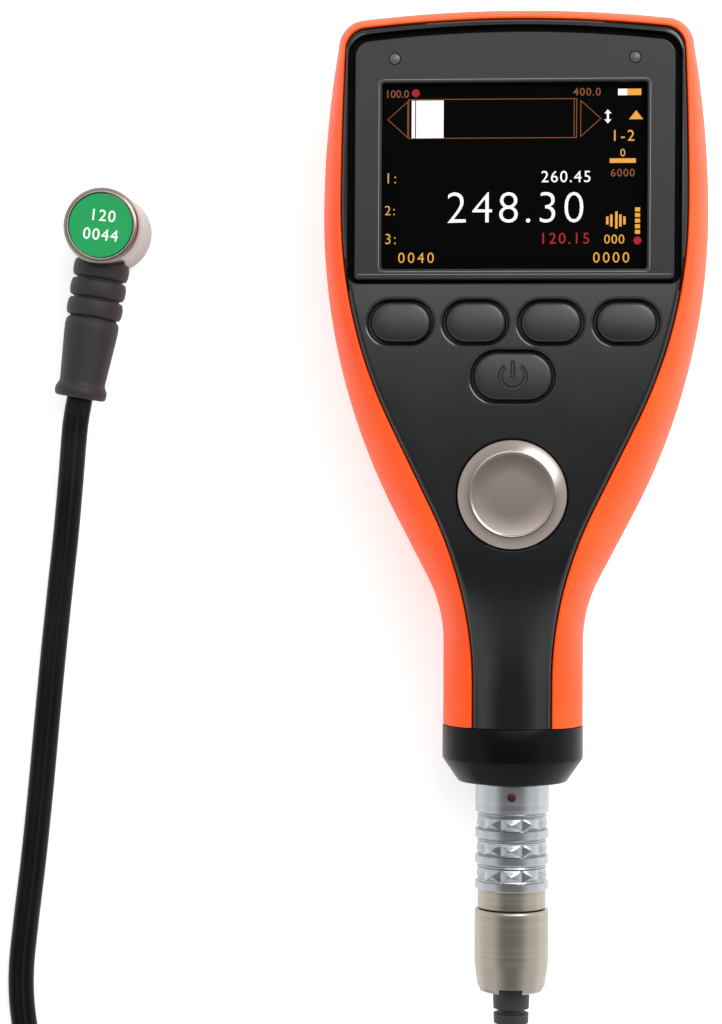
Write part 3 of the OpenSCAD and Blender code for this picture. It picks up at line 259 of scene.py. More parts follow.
def carried(way, section):
    rings = []
    for i, p in enumerate(way):
        ahead_of = (way[min(i + 1, len(way) - 1)] - way[max(i - 1, 0)]).normalized()
        side = ahead_of.cross(Vector((0, 0, 1))).normalized()
        up = side.cross(ahead_of)
        rings.append([p + side * x + up * y for x, y in section])
    return rings


# %% [markdown]
# ## Finishes
# Two node groups put out a height and a slow mask, one for the grain of mouldings and
# one for the fine lines of turned metal. Every material keeps its own shader.

# %% Helpers for groups and nodes, and the grain of moulded plastic and rubber
def node_group(name):
    group = bpy.data.node_groups.new(name, "ShaderNodeTree")
    for label, way, kind in (("Vector", "INPUT", "NodeSocketVector"),
                             ("Scale", "INPUT", "NodeSocketFloat"),
                             ("Height", "OUTPUT", "NodeSocketFloat"),
                             ("Mask", "OUTPUT", "NodeSocketFloat")):
        group.interface.new_socket(name=label, in_out=way, socket_type=kind)
    given = group.nodes.new("NodeGroupInput").outputs
    return group, given["Vector"], given["Scale"], group.nodes.new("NodeGroupOutput")


def feed(tree, node, values):
    for key, value in values.items():
        if isinstance(value, bpy.types.NodeSocket):
            tree.links.new(value, node.inputs[key])
        else:
            node.inputs[key].default_value = value


def math_node(tree, operation, a, b):
    node = tree.nodes.new("ShaderNodeMath")
    node.operation = operation
    feed(tree, node, {0: a, 1: b})
    return node.outputs[0]


def noise_node(tree, vector, scale, detail=2.0, rough=0.5):
    node = tree.nodes.new("ShaderNodeTexNoise")
    feed(tree, node, {"Vector": vector, "Scale": scale, "Detail": detail, "Roughness": rough})
    return node.outputs["Fac"]


GRAIN, vector, scale, grain_out = node_group("moulded_grain")
fine = noise_node(GRAIN, vector, scale, 3.0, 0.6)
slow = noise_node(GRAIN, vector, math_node(GRAIN, "MULTIPLY", scale, 0.02), 3.0, 0.55)
feed(GRAIN, grain_out, {"Height": fine, "Mask": slow})
print("the grain group has", len(GRAIN.nodes), "nodes")

# %% The fine rings left by turning, about an axis along Z of the given vector
TURNED, vector, scale, turned_out = node_group("turned_lines")
WANDER, CALM_MIDDLE = 0.0001, 700.0


def turned_node(operation, a, b=0.0):
    return math_node(TURNED, operation, a, b)


parts = TURNED.nodes.new("ShaderNodeSeparateXYZ")
feed(TURNED, parts, {0: vector})
x, y, z = parts.outputs
radius = turned_node("SQRT", turned_node("ADD", *[turned_node("POWER", v, 2.0) for v in (x, y)]))
angle = turned_node("ARCTAN2", y, x)
wound = TURNED.nodes.new("ShaderNodeCombineXYZ")
feed(TURNED, wound, {0: turned_node("ADD", radius, z)})
for i, wave in enumerate(("SINE", "COSINE"), 1):
    feed(TURNED, wound, {i: turned_node("MULTIPLY", turned_node(wave, angle), WANDER)})
fine = noise_node(TURNED, wound.outputs[0], scale, 2.0, 0.6)
broad = noise_node(TURNED, wound.outputs[0], turned_node("MULTIPLY", scale, 0.12), 2.0, 0.5)
away = turned_node("MINIMUM", turned_node("MULTIPLY", radius, CALM_MIDDLE), 1.0)
feed(TURNED, turned_out, {"Height": turned_node("MULTIPLY", away, fine), "Mask": broad})
print("the turning group has", len(TURNED.nodes), "nodes")


# %% Colours are named as they look on a screen
def srgb(r, g, b):
    return tuple((c / 255 / 12.92 if c <= 10 else ((c / 255 + 0.055) / 1.055) ** 2.4)
                 for c in (r, g, b))


# %% Two recipes: colour and gloss range, then the grain's scale, depth and strength
MICRON = 1e-6


def new_material(name):
    material = finishes[name] = bpy.data.materials.new(name)
    material.use_nodes = True
    tree = material.node_tree
    coords = tree.nodes.new("ShaderNodeTexCoord").outputs["Object"]
    return tree, tree.nodes["Principled BSDF"], coords


def ramp(tree, fac, low, high, start=0.3, end=0.7):
    node = tree.nodes.new("ShaderNodeValToRGB")
    for stop, position, colour in zip(node.color_ramp.elements, (start, end), (low, high)):
        stop.position = position
        stop.color = (*colour, 1)
    feed(tree, node, {0: fac})
    return node.outputs["Color"]


def value_range(tree, fac, low, high):
    node = tree.nodes.new("ShaderNodeMapRange")
    feed(tree, node, {"Value": fac, "From Min": 0.3, "From Max": 0.7, "To Min": low,
                      "To Max": high})
    return node.outputs["Result"]


def recipe(name, group, dark, light, gloss, scale, depth, strength):
    tree, shader, coords = new_material(name)
    node, bump = tree.nodes.new("ShaderNodeGroup"), tree.nodes.new("ShaderNodeBump")
    node.node_tree = group
    mask = node.outputs["Mask"]
    feed(tree, node, {"Vector": coords, "Scale": scale})
    feed(tree, bump, {"Height": node.outputs["Height"], "Strength": strength,
                      "Distance": depth * MICRON})
    feed(tree, shader, {"Base Color": ramp(tree, mask, srgb(*dark), srgb(*light)),
                        "Roughness": value_range(tree, mask, *gloss),
                        "Normal": bump.outputs["Normal"]})
    return tree, shader, coords, node


def moulded(name, dark, light, gloss, scale=4000.0, depth=20, strength=0.35, specular=0.5):
    tree, shader = recipe(name, GRAIN, dark, light, gloss, scale, depth, strength)[:2]
    feed(tree, shader, {"Specular IOR Level": specular})


def turned_metal(name, dark, light, gloss, centre=(0, 0, 0), tilt=(0, 0, 0), scale=9000.0,
                 depth=4, strength=0.3):
    tree, shader, coords, node = recipe(name, TURNED, dark, light, gloss, scale, depth, strength)
    mapping = tree.nodes.new("ShaderNodeMapping")
    mapping.vector_type = "TEXTURE"
    feed(tree, mapping, {"Vector": coords, "Location": [c * MM for c in centre], "Rotation": tilt})
    feed(tree, node, {"Vector": mapping.outputs[0]})
    feed(tree, shader, {"Metallic": 1.0})


# %% The finishes that pieces share
moulded("orange_rubber", (248, 78, 20), (253, 88, 26), (0.45, 0.58), depth=10, strength=0.25,
        specular=0.2)
moulded("face_plastic", (13, 14, 15), (16, 17, 18), (0.17, 0.19), scale=5000.0, depth=4,
        strength=0.15)
# Near-black matte finish for the bezel recess: painted shade that darkens the gap round the display
# frame beyond its own shadow.
moulded("recess_painted_shade", (4, 4, 4), (6, 6, 6), (0.6, 0.7), specular=0.05)
moulded("back_plastic", (30, 30, 32), (36, 36, 38), (0.5, 0.62), scale=3000.0, depth=30,
        strength=0.5)
moulded("bezel_plastic", (17, 18, 19), (20, 21, 22), (0.28, 0.34), depth=6, strength=0.2,
        specular=0.3)
moulded("key_rubber", (22, 23, 24), (26, 27, 28), (0.3, 0.36), depth=10, strength=0.25)
moulded("collar_plastic", (6, 6, 7), (9, 9, 10), (0.26, 0.32), depth=6, strength=0.2, specular=0.1)
moulded("boot_rubber", (30, 30, 31), (37, 37, 38), (0.55, 0.65), scale=3500.0, strength=0.5,
        specular=0.35)
moulded("lead_jacket", (6, 6, 7), (10, 10, 11), (0.3, 0.38), depth=6, strength=0.25, specular=0.2)
moulded("relief_rubber", (26, 26, 27), (32, 32, 33), (0.5, 0.6))
moulded("seal_rubber", (58, 58, 58), (70, 70, 70), (0.6, 0.7))
moulded("label_print", (6, 136, 68), (12, 146, 78), (0.4, 0.5), depth=4, strength=0.2,
        specular=0.25)
moulded("screen_black", (0, 0, 0), (1, 1, 1), (0.6, 0.65), depth=1, strength=0.05, specular=0.0)
moulded("white_moulding", (215, 214, 208), (226, 225, 220), (0.5, 0.6))
moulded("board_mask", (16, 72, 40), (24, 92, 50), (0.3, 0.4))
moulded("cell_wrap", (70, 76, 86), (84, 90, 100), (0.25, 0.35), depth=3)
turned_metal("contact_metal", (180, 178, 172), (200, 198, 192), (0.25, 0.35))
turned_metal("gold_metal", (214, 170, 90), (232, 190, 110), (0.2, 0.3))
turned_metal("screw_metal", (150, 150, 150), (172, 172, 172), (0.3, 0.4))
moulded("resin_dark", (50, 50, 50), (60, 60, 60), (0.5, 0.6))
moulded("element_cream", (214, 204, 170), (226, 216, 184), (0.4, 0.5))
moulded("cork_brown", (120, 84, 52), (150, 108, 70), (0.8, 0.9), scale=1500.0)
moulded("delay_resin", (196, 186, 150), (210, 200, 166), (0.2, 0.3))
moulded("red_enamel", (62, 3, 8), (74, 5, 11), (0.3, 0.4), specular=0.3)
moulded("frame_print", (104, 106, 110), (112, 114, 118), (0.4, 0.5))
moulded("lamp_grey", (58, 58, 60), (78, 78, 80), (0.3, 0.4))
print(len(finishes), "finishes so far")

# %% The lead, drawn as one tube
twin_lead = place(outward(lofted(carried(lead_way, strand_section()))), "twin_lead",
                  "lead_jacket", sharp=60,
                  replaces=("plug_lead", "lead_coil", "probe_lead"))

# %% [markdown]
# ## The outline of the case
# The case is wide at the display, sweeps in on long curves and ends in a round neck.
# Two outlines describe it, the rubber's and that of the face within. Both have the
# same number of points, so that walls can be laid between the pairs.

# %% Outlines of the rubber and of the face
BODY_LENGTH, HEAD_WIDTH, BODY_DEPTH = 146.4, 72.8, 36.4
Y_TOP, Y_GRIP = BODY_LENGTH / 2, -62.3
BUMPER_WALL, LIP_T = 2.2, 1.6
ARCH, CORNER, UPPER, SIDE, FLARE, NECK, GRIP = 10, 9, 6, 18, 5, 12, 7


def half_outline(w, w_neck, top, bow, corner, wide, r_up, r_side, slope, r_neck, end):
    slope = radians(slope)
    y_c = top - bow - corner
    x_c = w - (y_c - wide) ** 2 / (2 * r_up) - corner
    w1 = w - r_side * (1 - cos(slope))
    w2 = w_neck + r_neck * (1 - cos(slope))
    y1 = wide - r_side * sin(slope)
    y2 = y1 - (w1 - w2) / tan(slope)
    y3 = y2 - r_neck * sin(slope)
    out = [(x_c * t, top - bow * t * t) for t in shares(ARCH)[:-1]]
    out += [(x_c + corner * sin(a), y_c + corner * cos(a)) for a in arc(0, 90, CORNER)]
    out += [(w - ((wide - y_c) * (1 - t)) ** 2 / (2 * r_up), mixed(y_c, wide, t))
            for t in shares(UPPER)[1:]]
    out += [(w - r_side * (1 - cos(slope * t)), wide - r_side * sin(slope * t))
            for t in shares(SIDE)[1:]]
    out += [(mixed(w1, w2, t), mixed(y1, y2, t)) for t in shares(FLARE)[1:]]
    out += [(w_neck + r_neck * (1 - cos(slope * (1 - t))), y3 + r_neck * sin(slope * (1 - t)))
            for t in shares(NECK)[1:]]
    out += [(w_neck, mixed(y3, end, t)) for t in shares(GRIP)[1:]]
    return [Vector(p) for p in out]


def outer_half(end, top=Y_TOP):
    return half_outline(HEAD_WIDTH / 2, 13.3, top, 1.5, 5.6, 34.12, 175, 122, 27.5, 26, end)


def nearest(way, spot):
    found = []
    for a, b in zip(way, way[1:]):
        share = (spot - a).dot(b - a) / (b - a).length_squared
        found.append(a.lerp(b, max(0.0, min(1.0, share))))
    return min(found, key=lambda p: (p - spot).length)


def face_half(end):
    way = half_outline(31.85, 7.4, Y_TOP - 4.5, 1.5, 4, 34.1, 600, 90, 26.1, 72, end)
    corner_end = ARCH + CORNER
    beside = [nearest(way[corner_end:], p) for p in outer_half(end)[corner_end + 1:]]
    return way[:corner_end + 1] + beside


def from_outer(end, d):
    return [o + (f - o).normalized() * d for o, f in zip(outer_half(end), face_half(end))]


def from_face(end, d):
    return [f + (f - o).normalized() * d for o, f in zip(outer_half(end), face_half(end))]


def drawn_in(points, share, end):
    keep = 1 - 0.04 * (1 - share)
    return [Vector((p.x * share, end + (p.y - end) * keep)) for p in points]


print("each outline has", len(outer_half(Y_GRIP)), "points on one side")


# %% Heights along the body: its face (side 1) and back (side -1) close in on the round neck
NECK_R, LIP_DROP, CROWN = 11.3, 0.7, 2
CLOSING = {1: (-29, 29), -1: (-22, 32)}


def closing(y, side):
    start, length = CLOSING[side]
    return eased((start - y) / length)


def skin_z(y, side):
    return mixed(BODY_DEPTH if side > 0 else 0, NECK_AXIS + side * NECK_R, closing(y, side))


def lip_z(y, side):
    return skin_z(y, side) - side * LIP_DROP


def crown_z(y, side, share):
    return skin_z(y, side) + side * CROWN * closing(y, side) * (1 - share * share)


def level_z(y):
    return mixed(BODY_DEPTH / 2, NECK_AXIS, closing(y, 1))


def full_ring(half):
    return half + [Vector((-p.x, p.y, p.z)) for p in reversed(half[1:])]


# %% [markdown]
# ## The rubber bumper
# Soft orange rubber runs round both sides and the display end. Its section changes
# all the way, deep and full at the head and nearly round at the neck, so one is
# worked out for each pair of outline points, and the ring is drawn through them all.

# %% One section of the bumper, and the bumper drawn through them
SKIN_TOP = Y_TOP - 0.75
outer, skin, face = outer_half(Y_GRIP), outer_half(Y_GRIP, SKIN_TOP), face_half(Y_GRIP)
LIP_ROUND, FULLNESS, SHOULDER = 0.45, 1.8, 6.0
SKIN_STEPS, WALL_STEPS = 20, 4


def bumper_section(i, flank):
    inner_edge, skin_edge = (face[i] - outer[i]).length, (face[i] - skin[i]).length
    middle = (inner_edge + BUMPER_WALL) / 2
    edges = ((inner_edge - LIP_ROUND * 0.4, LIP_ROUND * 0.12), (inner_edge, LIP_ROUND),
             (inner_edge, LIP_T), (middle, (LIP_T + SHOULDER) / 2))

    def lay(start, inset, height):
        p = start + (face[i] - start).normalized() * inset
        return Vector((flank * p.x, p.y, height(p.y)))

    def bulge(a):
        share = abs(sin(a)) ** (2 / FULLNESS)
        return lambda y: mixed(level_z(y), lip_z(y, -1 if a < 0 else 1), share)

    def edge(inset, drop, side):
        return lay(outer[i], inset, lambda y: lip_z(y, side) - side * drop)

    ring = []
    for a in arc(-90, 90, SKIN_STEPS):
        inset = skin_edge * (1 - max(0.0, cos(a)) ** (2 / FULLNESS))
        ring.append(lay(skin[i], min(inset, skin_edge - LIP_ROUND), bulge(a)))
    ring += [edge(*step, 1) for step in edges]
    ring += [lay(outer[i], BUMPER_WALL,
                 lambda y: mixed(lip_z(y, 1) - SHOULDER, lip_z(y, -1) + SHOULDER, t))
             for t in shares(WALL_STEPS)]
    return ring + [edge(*step, -1) for step in reversed(edges)]


bumper_rings = [bumper_section(i, -1) for i in reversed(range(len(outer)))]
bumper_rings += [bumper_section(i, 1) for i in range(1, len(outer))]
place(outward(lofted(bumper_rings)), "rubber_bumper", "orange_rubber",
      replaces=("bumper",), sharp=50)
print("the bumper follows", len(bumper_rings), "sections")

# %% [markdown]
# ## The case halves
# Inside the rubber sit two dark mouldings: the front one with a recess for the
# display's frame and holes for the keys, the rear one with the battery bay. Each is a
# closed wall drawn through rings. Boolean modifiers, applied at once, cut the holes,
# with cutters that flare at the top so that each hole gets a soft rim.

# %% Rings for keys, holes and cutters, and the cutting itself
def bar_ring(w, h, z, inset=0.0, x=0.0, y=0.0, rise_of=None):
    half, r = (w - h) / 2, h / 2 - inset
    spots = [(side * (half + r * cos(a)), side * r * sin(a))
             for side in (1, -1) for a in arc(-90, 90, 14)]
    return [Vector((x + dx, y + dy, rise_of(dx, dy) if rise_of else z)) for dx, dy in spots]


def rect_ring(x0, x1, y0, y1, z, r=0.5):
    x0, x1, y0, y1 = x0 + r, x1 - r, y0 + r, y1 - r
    return [Vector((x + r * cos(a), y + r * sin(a), z))
            for x, y, start in ((x1, y1, 0), (x0, y1, 90), (x0, y0, 180), (x1, y0, 270))
            for a in arc(start, start + 90, 4)]


def disc_ring(x, y, r, z, steps=64):
    return [Vector((x + r * cos(a), y + r * sin(a), z)) for a in arc(0, 360, steps)[:-1]]


def round_cutter(x, y, levels, steps=64):
    return lofted([disc_ring(x, y, r, z, steps) for r, z in levels])


def cut(target, cutters):
    for bm in cutters:
        mesh = mesh_in_metres("cutter", outward(bm))
        cutter = linked("cutter", mesh)
        boolean = target.modifiers.new("cut", "BOOLEAN")
        boolean.object = cutter
        boolean.solver = "EXACT"
        result = baked(target)
        target.modifiers.clear()
        old, target.data = target.data, result
        result.name = old.name
        bpy.data.meshes.remove(old)
        bpy.data.objects.remove(cutter)
        bpy.data.meshes.remove(mesh)
    target.data.shade_smooth()
    target.data.set_sharp_from_angle(angle=radians(35))
    print(target.name, "is cut and has", len(target.data.polygons), "faces")


def weigh_normals(piece):
    weighted = piece.modifiers.new("weighted", "WEIGHTED_NORMAL")
    weighted.keep_sharp = True
    weighted.weight = 80


# %% The front half
BEZEL_FLOOR = 34.8
KEY_ROW_Y, KEY_PITCH, POWER_Y = 12.96, 13.8, 3.05
KEY_W, KEY_H, POWER_W, POWER_H, KEY_GAP = 11.2, 7.4, 14.6, 8.8, 0.4
DISC_Y, DISC_D = -18.65, 20.1
CASE_INSET, CASE_WALL, FACE_WALL = 2.3, 2.0, 2.2
SPLIT_Z, SEAL_GAP = BODY_DEPTH * 0.52, 0.5
key_places = [((i - 1.5) * KEY_PITCH, KEY_ROW_Y) for i in range(4)]
inner_end = Y_GRIP + CASE_WALL
EDGE, EDGE_STEPS, FACE_GAP, LIP_GAP = 1.0, 5, 0.1, 0.1
INSIDE_INSET, INSIDE_DROP, OUTSIDE_DROP = 1.6, 8, 6.1
CROWN_SHARES = (0.8, 0.6, 0.4, 0.2)


def case_ring(points, height):
    return full_ring([Vector((p.x, p.y, height(p.y))) for p in points])


def half_rings(split, wall, side):
    def sunk(surface, drop):
        return lambda y: surface(y, side) - side * drop

    outside, inside = from_outer(Y_GRIP, CASE_INSET), from_outer(inner_end, CASE_INSET + CASE_WALL)
    rings = [case_ring(points, height) for points, height in (
        (from_face(inner_end, INSIDE_INSET), sunk(skin_z, wall)),
        (inside, sunk(lip_z, INSIDE_DROP)), (inside, lambda y: split),
        (outside, lambda y: split), (outside, sunk(lip_z, OUTSIDE_DROP)),
        (from_face(Y_GRIP, FACE_GAP), sunk(lip_z, LIP_T + LIP_GAP)))]
    rings += [case_ring(from_face(Y_GRIP, FACE_GAP + EDGE * (1 - cos(a))),
                        sunk(skin_z, EDGE * (1 - sin(a)))) for a in arc(0, 90, EDGE_STEPS)]
    rim = from_face(Y_GRIP, FACE_GAP + EDGE)
    return rings + [case_ring(drawn_in(rim, share, Y_GRIP), lambda y: crown_z(y, side, share))
                    for share in CROWN_SHARES]


def ladder(bm, base, size):
    bm.verts.ensure_lookup_table()
    ring = bm.verts[base:base + size]
    bm.faces.new((ring[0], ring[1], ring[size - 1]))
    for i in range(1, (size - 1) // 2):
        bm.faces.new((ring[i], ring[i + 1], ring[size - i - 1], ring[size - i]))


def case_half(name, rings, finish, node):
    bm = lofted(rings, cap_first=False, cap_last=False)
    size = len(rings[0])
    ladder(bm, 0, size)
    ladder(bm, size * (len(rings) - 1), size)
    return place(outward(bm), name, finish, replaces=(node,))


front_case = case_half("front_moulding", half_rings(SPLIT_Z, FACE_WALL, 1), "face_plastic",
                       "front_case")

# %% The bezel's outline, and the cutters of the front half
BEZEL_W, BEZEL_LOW, BEZEL_H, BEZEL_BOW = 29.4, 20.7, 45.6, 1.5


def bezel_ring(gap, z, foot_gap=None):
    w, high, r, foot = BEZEL_W + gap, BEZEL_LOW + BEZEL_H + gap, 3.0 + gap, 0.8 + gap
    low = BEZEL_LOW - (gap if foot_gap is None else foot_gap)
    spots = [((w - r) * t, high - BEZEL_BOW * t * t) for t in shares(8)]
    spots += [(w - r + r * sin(a), high - BEZEL_BOW - r + r * cos(a)) for a in arc(0, 90, 8)[1:]]
    spots += [(w - foot + foot * cos(a), low + foot - foot * sin(a)) for a in arc(0, 90, 5)]
    return full_ring([Vector((x, y, z)) for x, y in spots])


SCREEN_Y, SCREEN_W, SCREEN_H = 39.9, 48.6, 34.2
WINDOW_RIM = 1.75


def screen_ring(grow, z, r=0.5):
    half_w, half_h = SCREEN_W / 2 + grow, SCREEN_H / 2 + grow
    return rect_ring(-half_w, half_w, SCREEN_Y - half_h, SCREEN_Y + half_h, z, r)


KEY_FLARE = ((KEY_GAP, 30), (KEY_GAP, 35.7), (0.5, 36.1), (0.75, 36.32), (1.3, 36.5))
DISC_FLARE = ((0.1, 35), (0.1, 36.0), (0.3, 36.3), (0.8, 36.6))
RECESS = ((1.1, BEZEL_FLOOR, 0.6), (1.1, 35.9, 0.6), (1.2, 36.25, 0.7), (1.5, 36.5, 1.1),
          (1.5, 40, 1.1))
cutters = [lofted([bezel_ring(*level) for level in RECESS]),
           lofted([screen_ring(WINDOW_RIM, z) for z in (30, 36)])]
key_holes = [(x, y, KEY_W, KEY_H) for x, y in key_places] + [(0, POWER_Y, POWER_W, POWER_H)]
cutters += [lofted([bar_ring(w, h, z, -gap, x, y) for gap, z in KEY_FLARE])
            for x, y, w, h in key_holes]
cutters.append(round_cutter(0, DISC_Y, [(DISC_D / 2 + gap, z) for gap, z in DISC_FLARE]))
cut(front_case, cutters)
# The faces lining the bezel recess, picked by the box below, get the near-black finish: painted
# shade for the gap round the display frame.
front_case.data.materials.append(finishes["recess_painted_shade"])
RECESS_HALF, RECESS_ENDS, RECESS_TOP = 30.8, (19.9, 67.7), 36.2
for polygon in front_case.data.polygons:
    x, y, z = polygon.center / MM
    if (BEZEL_FLOOR - 0.1 < z < RECESS_TOP and RECESS_ENDS[0] < y < RECESS_ENDS[1]
            and abs(x) < RECESS_HALF):
        polygon.material_index = 1
print(sum(p.material_index for p in front_case.data.polygons), "faces line the black recess")


# %% Keeping the flat of the face flat up to the rims of its holes
LEVEL = 0.9999


def sharpen_rims(piece, steepest):
    bm = bmesh.new()
    bm.from_mesh(piece.data)
    for edge in bm.edges:
        tilts = sorted(f.normal.z for f in edge.link_faces)
        if len(tilts) == 2 and tilts[1] > LEVEL and tilts[0] < cos(steepest):
            edge.smooth = False
    bm.to_mesh(piece.data)
    bm.free()


sharpen_rims(front_case, radians(12))
weigh_normals(front_case)

# %% The rear half, with its bay and door opening
rear_case = case_half("rear_moulding", half_rings(SPLIT_Z - SEAL_GAP, CASE_WALL, -1)[::-1],
                      "back_plastic", "rear_case")
screw_spots = [(26, 64), (-26, 64), (17.82, -8), (-17.82, -8)]
DOOR_HALF, DOOR_ENDS = 17.75, (3.0, 65.7)
rear_cutters = [lofted([rect_ring(-DOOR_HALF, DOOR_HALF, *DOOR_ENDS, z, 0.3) for z in (-3, 3)])]
HEAD_FLARE, SCREW_HOLE = ((2.6, 1.9), (2.6, 0.5), (2.75, 0.2), (3.2, -0.2)), ((1.5, 0), (1.5, 6))
for x, y in screw_spots:
    rear_cutters += [round_cutter(x, y, HEAD_FLARE, 48), round_cutter(x, y, SCREW_HOLE, 32)]
cut(rear_case, rear_cutters)
weigh_normals(rear_case)

# %% The battery bay: a cup with a ledge for the door, and a round seat for its hinge
BAY = ((15.15, 6.2, 60.0, 0.6, (17.6, 2.6)), (DOOR_HALF, *DOOR_ENDS, 0.3, (2.6, 0.9)),
       (19.0, 1.6, 67.0, 1.0, (0.9, 5.2)), (16.55, 4.8, 61.4, 1.0, (5.2, 19.0)))
HINGE_Y, HINGE_Z, SEAT_R = 63.0, 2.2, 2.4
bay_rings = [rect_ring(-half, half, y0, y1, z, r)
             for half, y0, y1, r, levels in BAY for z in levels]
bay = place(outward(lofted(bay_rings)), "battery_bay", "back_plastic")
seat_profile = [(0, -DOOR_HALF), (SEAT_R, -DOOR_HALF), (SEAT_R, DOOR_HALF), (0, DOOR_HALF)]
at_hinge = Matrix.Translation((0, HINGE_Y, HINGE_Z)) @ Matrix.Rotation(pi / 2, 4, "Y")
cut(bay, [spun(seat_profile, 48, at_hinge)])

# %% [markdown]
# ## Display
# A raised frame with a thin light line round its opening holds the window. The lit
# figures lie on the panel under it: plain numbers, a bar with arrow ends, and a few
# coloured marks.

# %% The frame
BEZEL_TOP = 36.3
FRAME_EDGE = ((0, 0.35), (0.05, 0.18), (0.16, 0.05), (0.35, 0))
OPENING_FLARE = ((0, -0.2), (0.12, -0.05), (0.4, 0.1))
LAMP_X, LAMP_Y = 22, 61.4
LAMP_FLARE = ((1.0, 34), (1.0, BEZEL_TOP - 0.15), (1.2, BEZEL_TOP + 0.05))
frame_bm = lofted([bezel_ring(0, BEZEL_FLOOR)]
                  + [bezel_ring(-inset, BEZEL_TOP - down) for inset, down in FRAME_EDGE])
bezel = place(outward(frame_bm), "display_frame", "bezel_plastic",
              replaces=("display_bezel",))
openings = [lofted([screen_ring(0, 34)] + [screen_ring(grow, BEZEL_TOP + up, 0.5 + grow)
                                           for grow, up in OPENING_FLARE])]
openings += [round_cutter(side * LAMP_X, LAMP_Y, LAMP_FLARE, 32) for side in (-1, 1)]
cut(bezel, openings)
weigh_normals(bezel)


# %% Thin lines and flat marks, each a low slab
SLAB, LINE = Vector((0, 0, 0.02)), 0.13


def flat_mark(bm, ring, z):
    points = [Vector((p[0], p[1], z)) for p in ring]
    lofted([points, [p + SLAB for p in points]], bm=bm)


def stroke(bm, ring, width, z, closed=True):
    spans = list(zip(ring, ring[1:])) + ([(ring[-1], ring[0])] if closed else [])
    for a, b in spans:
        a, b = Vector(a[:2]), Vector(b[:2])
        go = (b - a).normalized()
        side = Vector((-go.y, go.x)) * width / 2
        a, b = a - go * width / 2, b + go * width / 2
        flat_mark(bm, [a - side, b - side, b + side, a + side], z)


line_bm = bmesh.new()
stroke(line_bm, screen_ring(0.55, 0, r=0.8), LINE, BEZEL_TOP - 0.01)
stroke(line_bm, [(-28.6, 21.75), (28.6, 21.75)], 0.12, BEZEL_TOP - 0.01, closed=False)
place(outward(line_bm), "frame_lines", "frame_print")


# %% Lit colours of the panel
def lit(name, colour, strength=1.0):
    tree, shader, coords = new_material(name)
    full = srgb(*colour)
    glow = ramp(tree, noise_node(tree, coords, 900.0, 1.0), [c * 0.94 for c in full], full)
    feed(tree, shader, {"Base Color": (0.01, 0.01, 0.01, 1), "Emission Color": glow,
                        "Emission Strength": strength, "Specular IOR Level": 0.05})


lit("lit_white", (254, 254, 254), 1.25)
lit("lit_orange", (244, 174, 66), 1.08)
lit("lit_dim", (146, 84, 40))
lit("lit_red", (178, 22, 34))

# %% The panel's own grid, and figures drawn with Blender's font
PANEL_Z, PANEL_COLUMNS, PANEL_ROWS = 33.9, 264, 186
DIGIT_SHARE = 0.73


def on_panel(u, v):
    return ((u / PANEL_COLUMNS - 0.5) * SCREEN_W, SCREEN_Y + (0.5 - v / PANEL_ROWS) * SCREEN_H)


def write(bm, text, height, at, bold, align, spacing, turned_by=0.0, extrude=0.0):
    curve = bpy.data.curves.new("figures", "FONT")
    curve.body = text
    curve.size = height / DIGIT_SHARE
    curve.offset = bold
    curve.extrude = extrude
    curve.align_x = align
    curve.space_character = spacing
    curve.resolution_u = 4
    words = linked("figures", curve)
    mesh = baked(words)
    mesh.transform(Matrix.Translation(at) @ Matrix.Rotation(turned_by, 4, "Z"))
    bm.from_mesh(mesh)
    bpy.data.objects.remove(words)
    bpy.data.curves.remove(curve)
    bpy.data.meshes.remove(mesh)


def corners(u0, v0, u1, v1):
    return [(u0, v1), (u1, v1), (u1, v0), (u0, v0)]


def dot(u, v, r):
    return [(u + r * cos(a), v - r * sin(a)) for a in arc(0, 360, 20)[:-1]]


def panel_piece(name, finish, figures=(), shapes=(), closed=(), open_lines=(), z=PANEL_Z):
    bm = bmesh.new()
    for text, u, v, height, bold, align, spacing in figures:
        write(bm, text, height * SCREEN_H / PANEL_ROWS, (*on_panel(u, v), z + SLAB.z), bold, align,
              spacing)
    for points in shapes:
        flat_mark(bm, [on_panel(*p) for p in points], z)
    for lines, joined in ((closed, True), (open_lines, False)):
        for points in lines:
            stroke(bm, [on_panel(*p) for p in points], LINE, z, joined)
    place(bm, name, finish)


# %% White figures and marks, then the orange ones
panel_piece("panel_white", "lit_white", figures=[
    ("248.30", 203, 139, 33, -0.1, "RIGHT", 1.15), ("260.45", 209, 98.5, 12, 0.0, "RIGHT", 1.14)],
    shapes=[corners(29, 16, 61, 54), corners(235, 5.5, 244, 12), corners(224, 28, 226, 38),
            [(221.5, 30), (228.5, 30), (225, 26)], [(221.5, 36), (225, 40), (228.5, 36)]])
bars = [(225, 133, 141), (229, 131, 143), (234, 128, 145), (238, 131, 143), (242, 133, 141)]
panel_piece("panel_orange", "lit_orange", figures=[
    ("1-2", 240, 57.5, 11.5, 0.0, "CENTER", 1.2), ("0", 240, 73, 8, 0.0, "CENTER", 1.0),
    ("000", 232, 160, 9.5, 0.0, "CENTER", 1.1), ("1:", 2, 99, 11, -0.02, "LEFT", 1.2),
    ("2:", 2, 131, 10, -0.02, "LEFT", 1.2), ("3:", 2, 160, 11, -0.02, "LEFT", 1.2),
    ("0040", 34, 179, 11, -0.01, "CENTER", 1.3), ("0000", 229, 179, 11, -0.01, "CENTER", 1.3)],
    shapes=[corners(244, 5.5, 258, 12), corners(227, 75, 253, 79.5),
            [(246, 36), (260, 36), (253, 27)]]
    + [corners(u - 1.2, v0, u + 1.2, v1) for u, v0, v1 in bars]
    + [corners(252.5, 124 + 5.6 * k, 257.5, 128 + 5.6 * k) for k in range(5)])

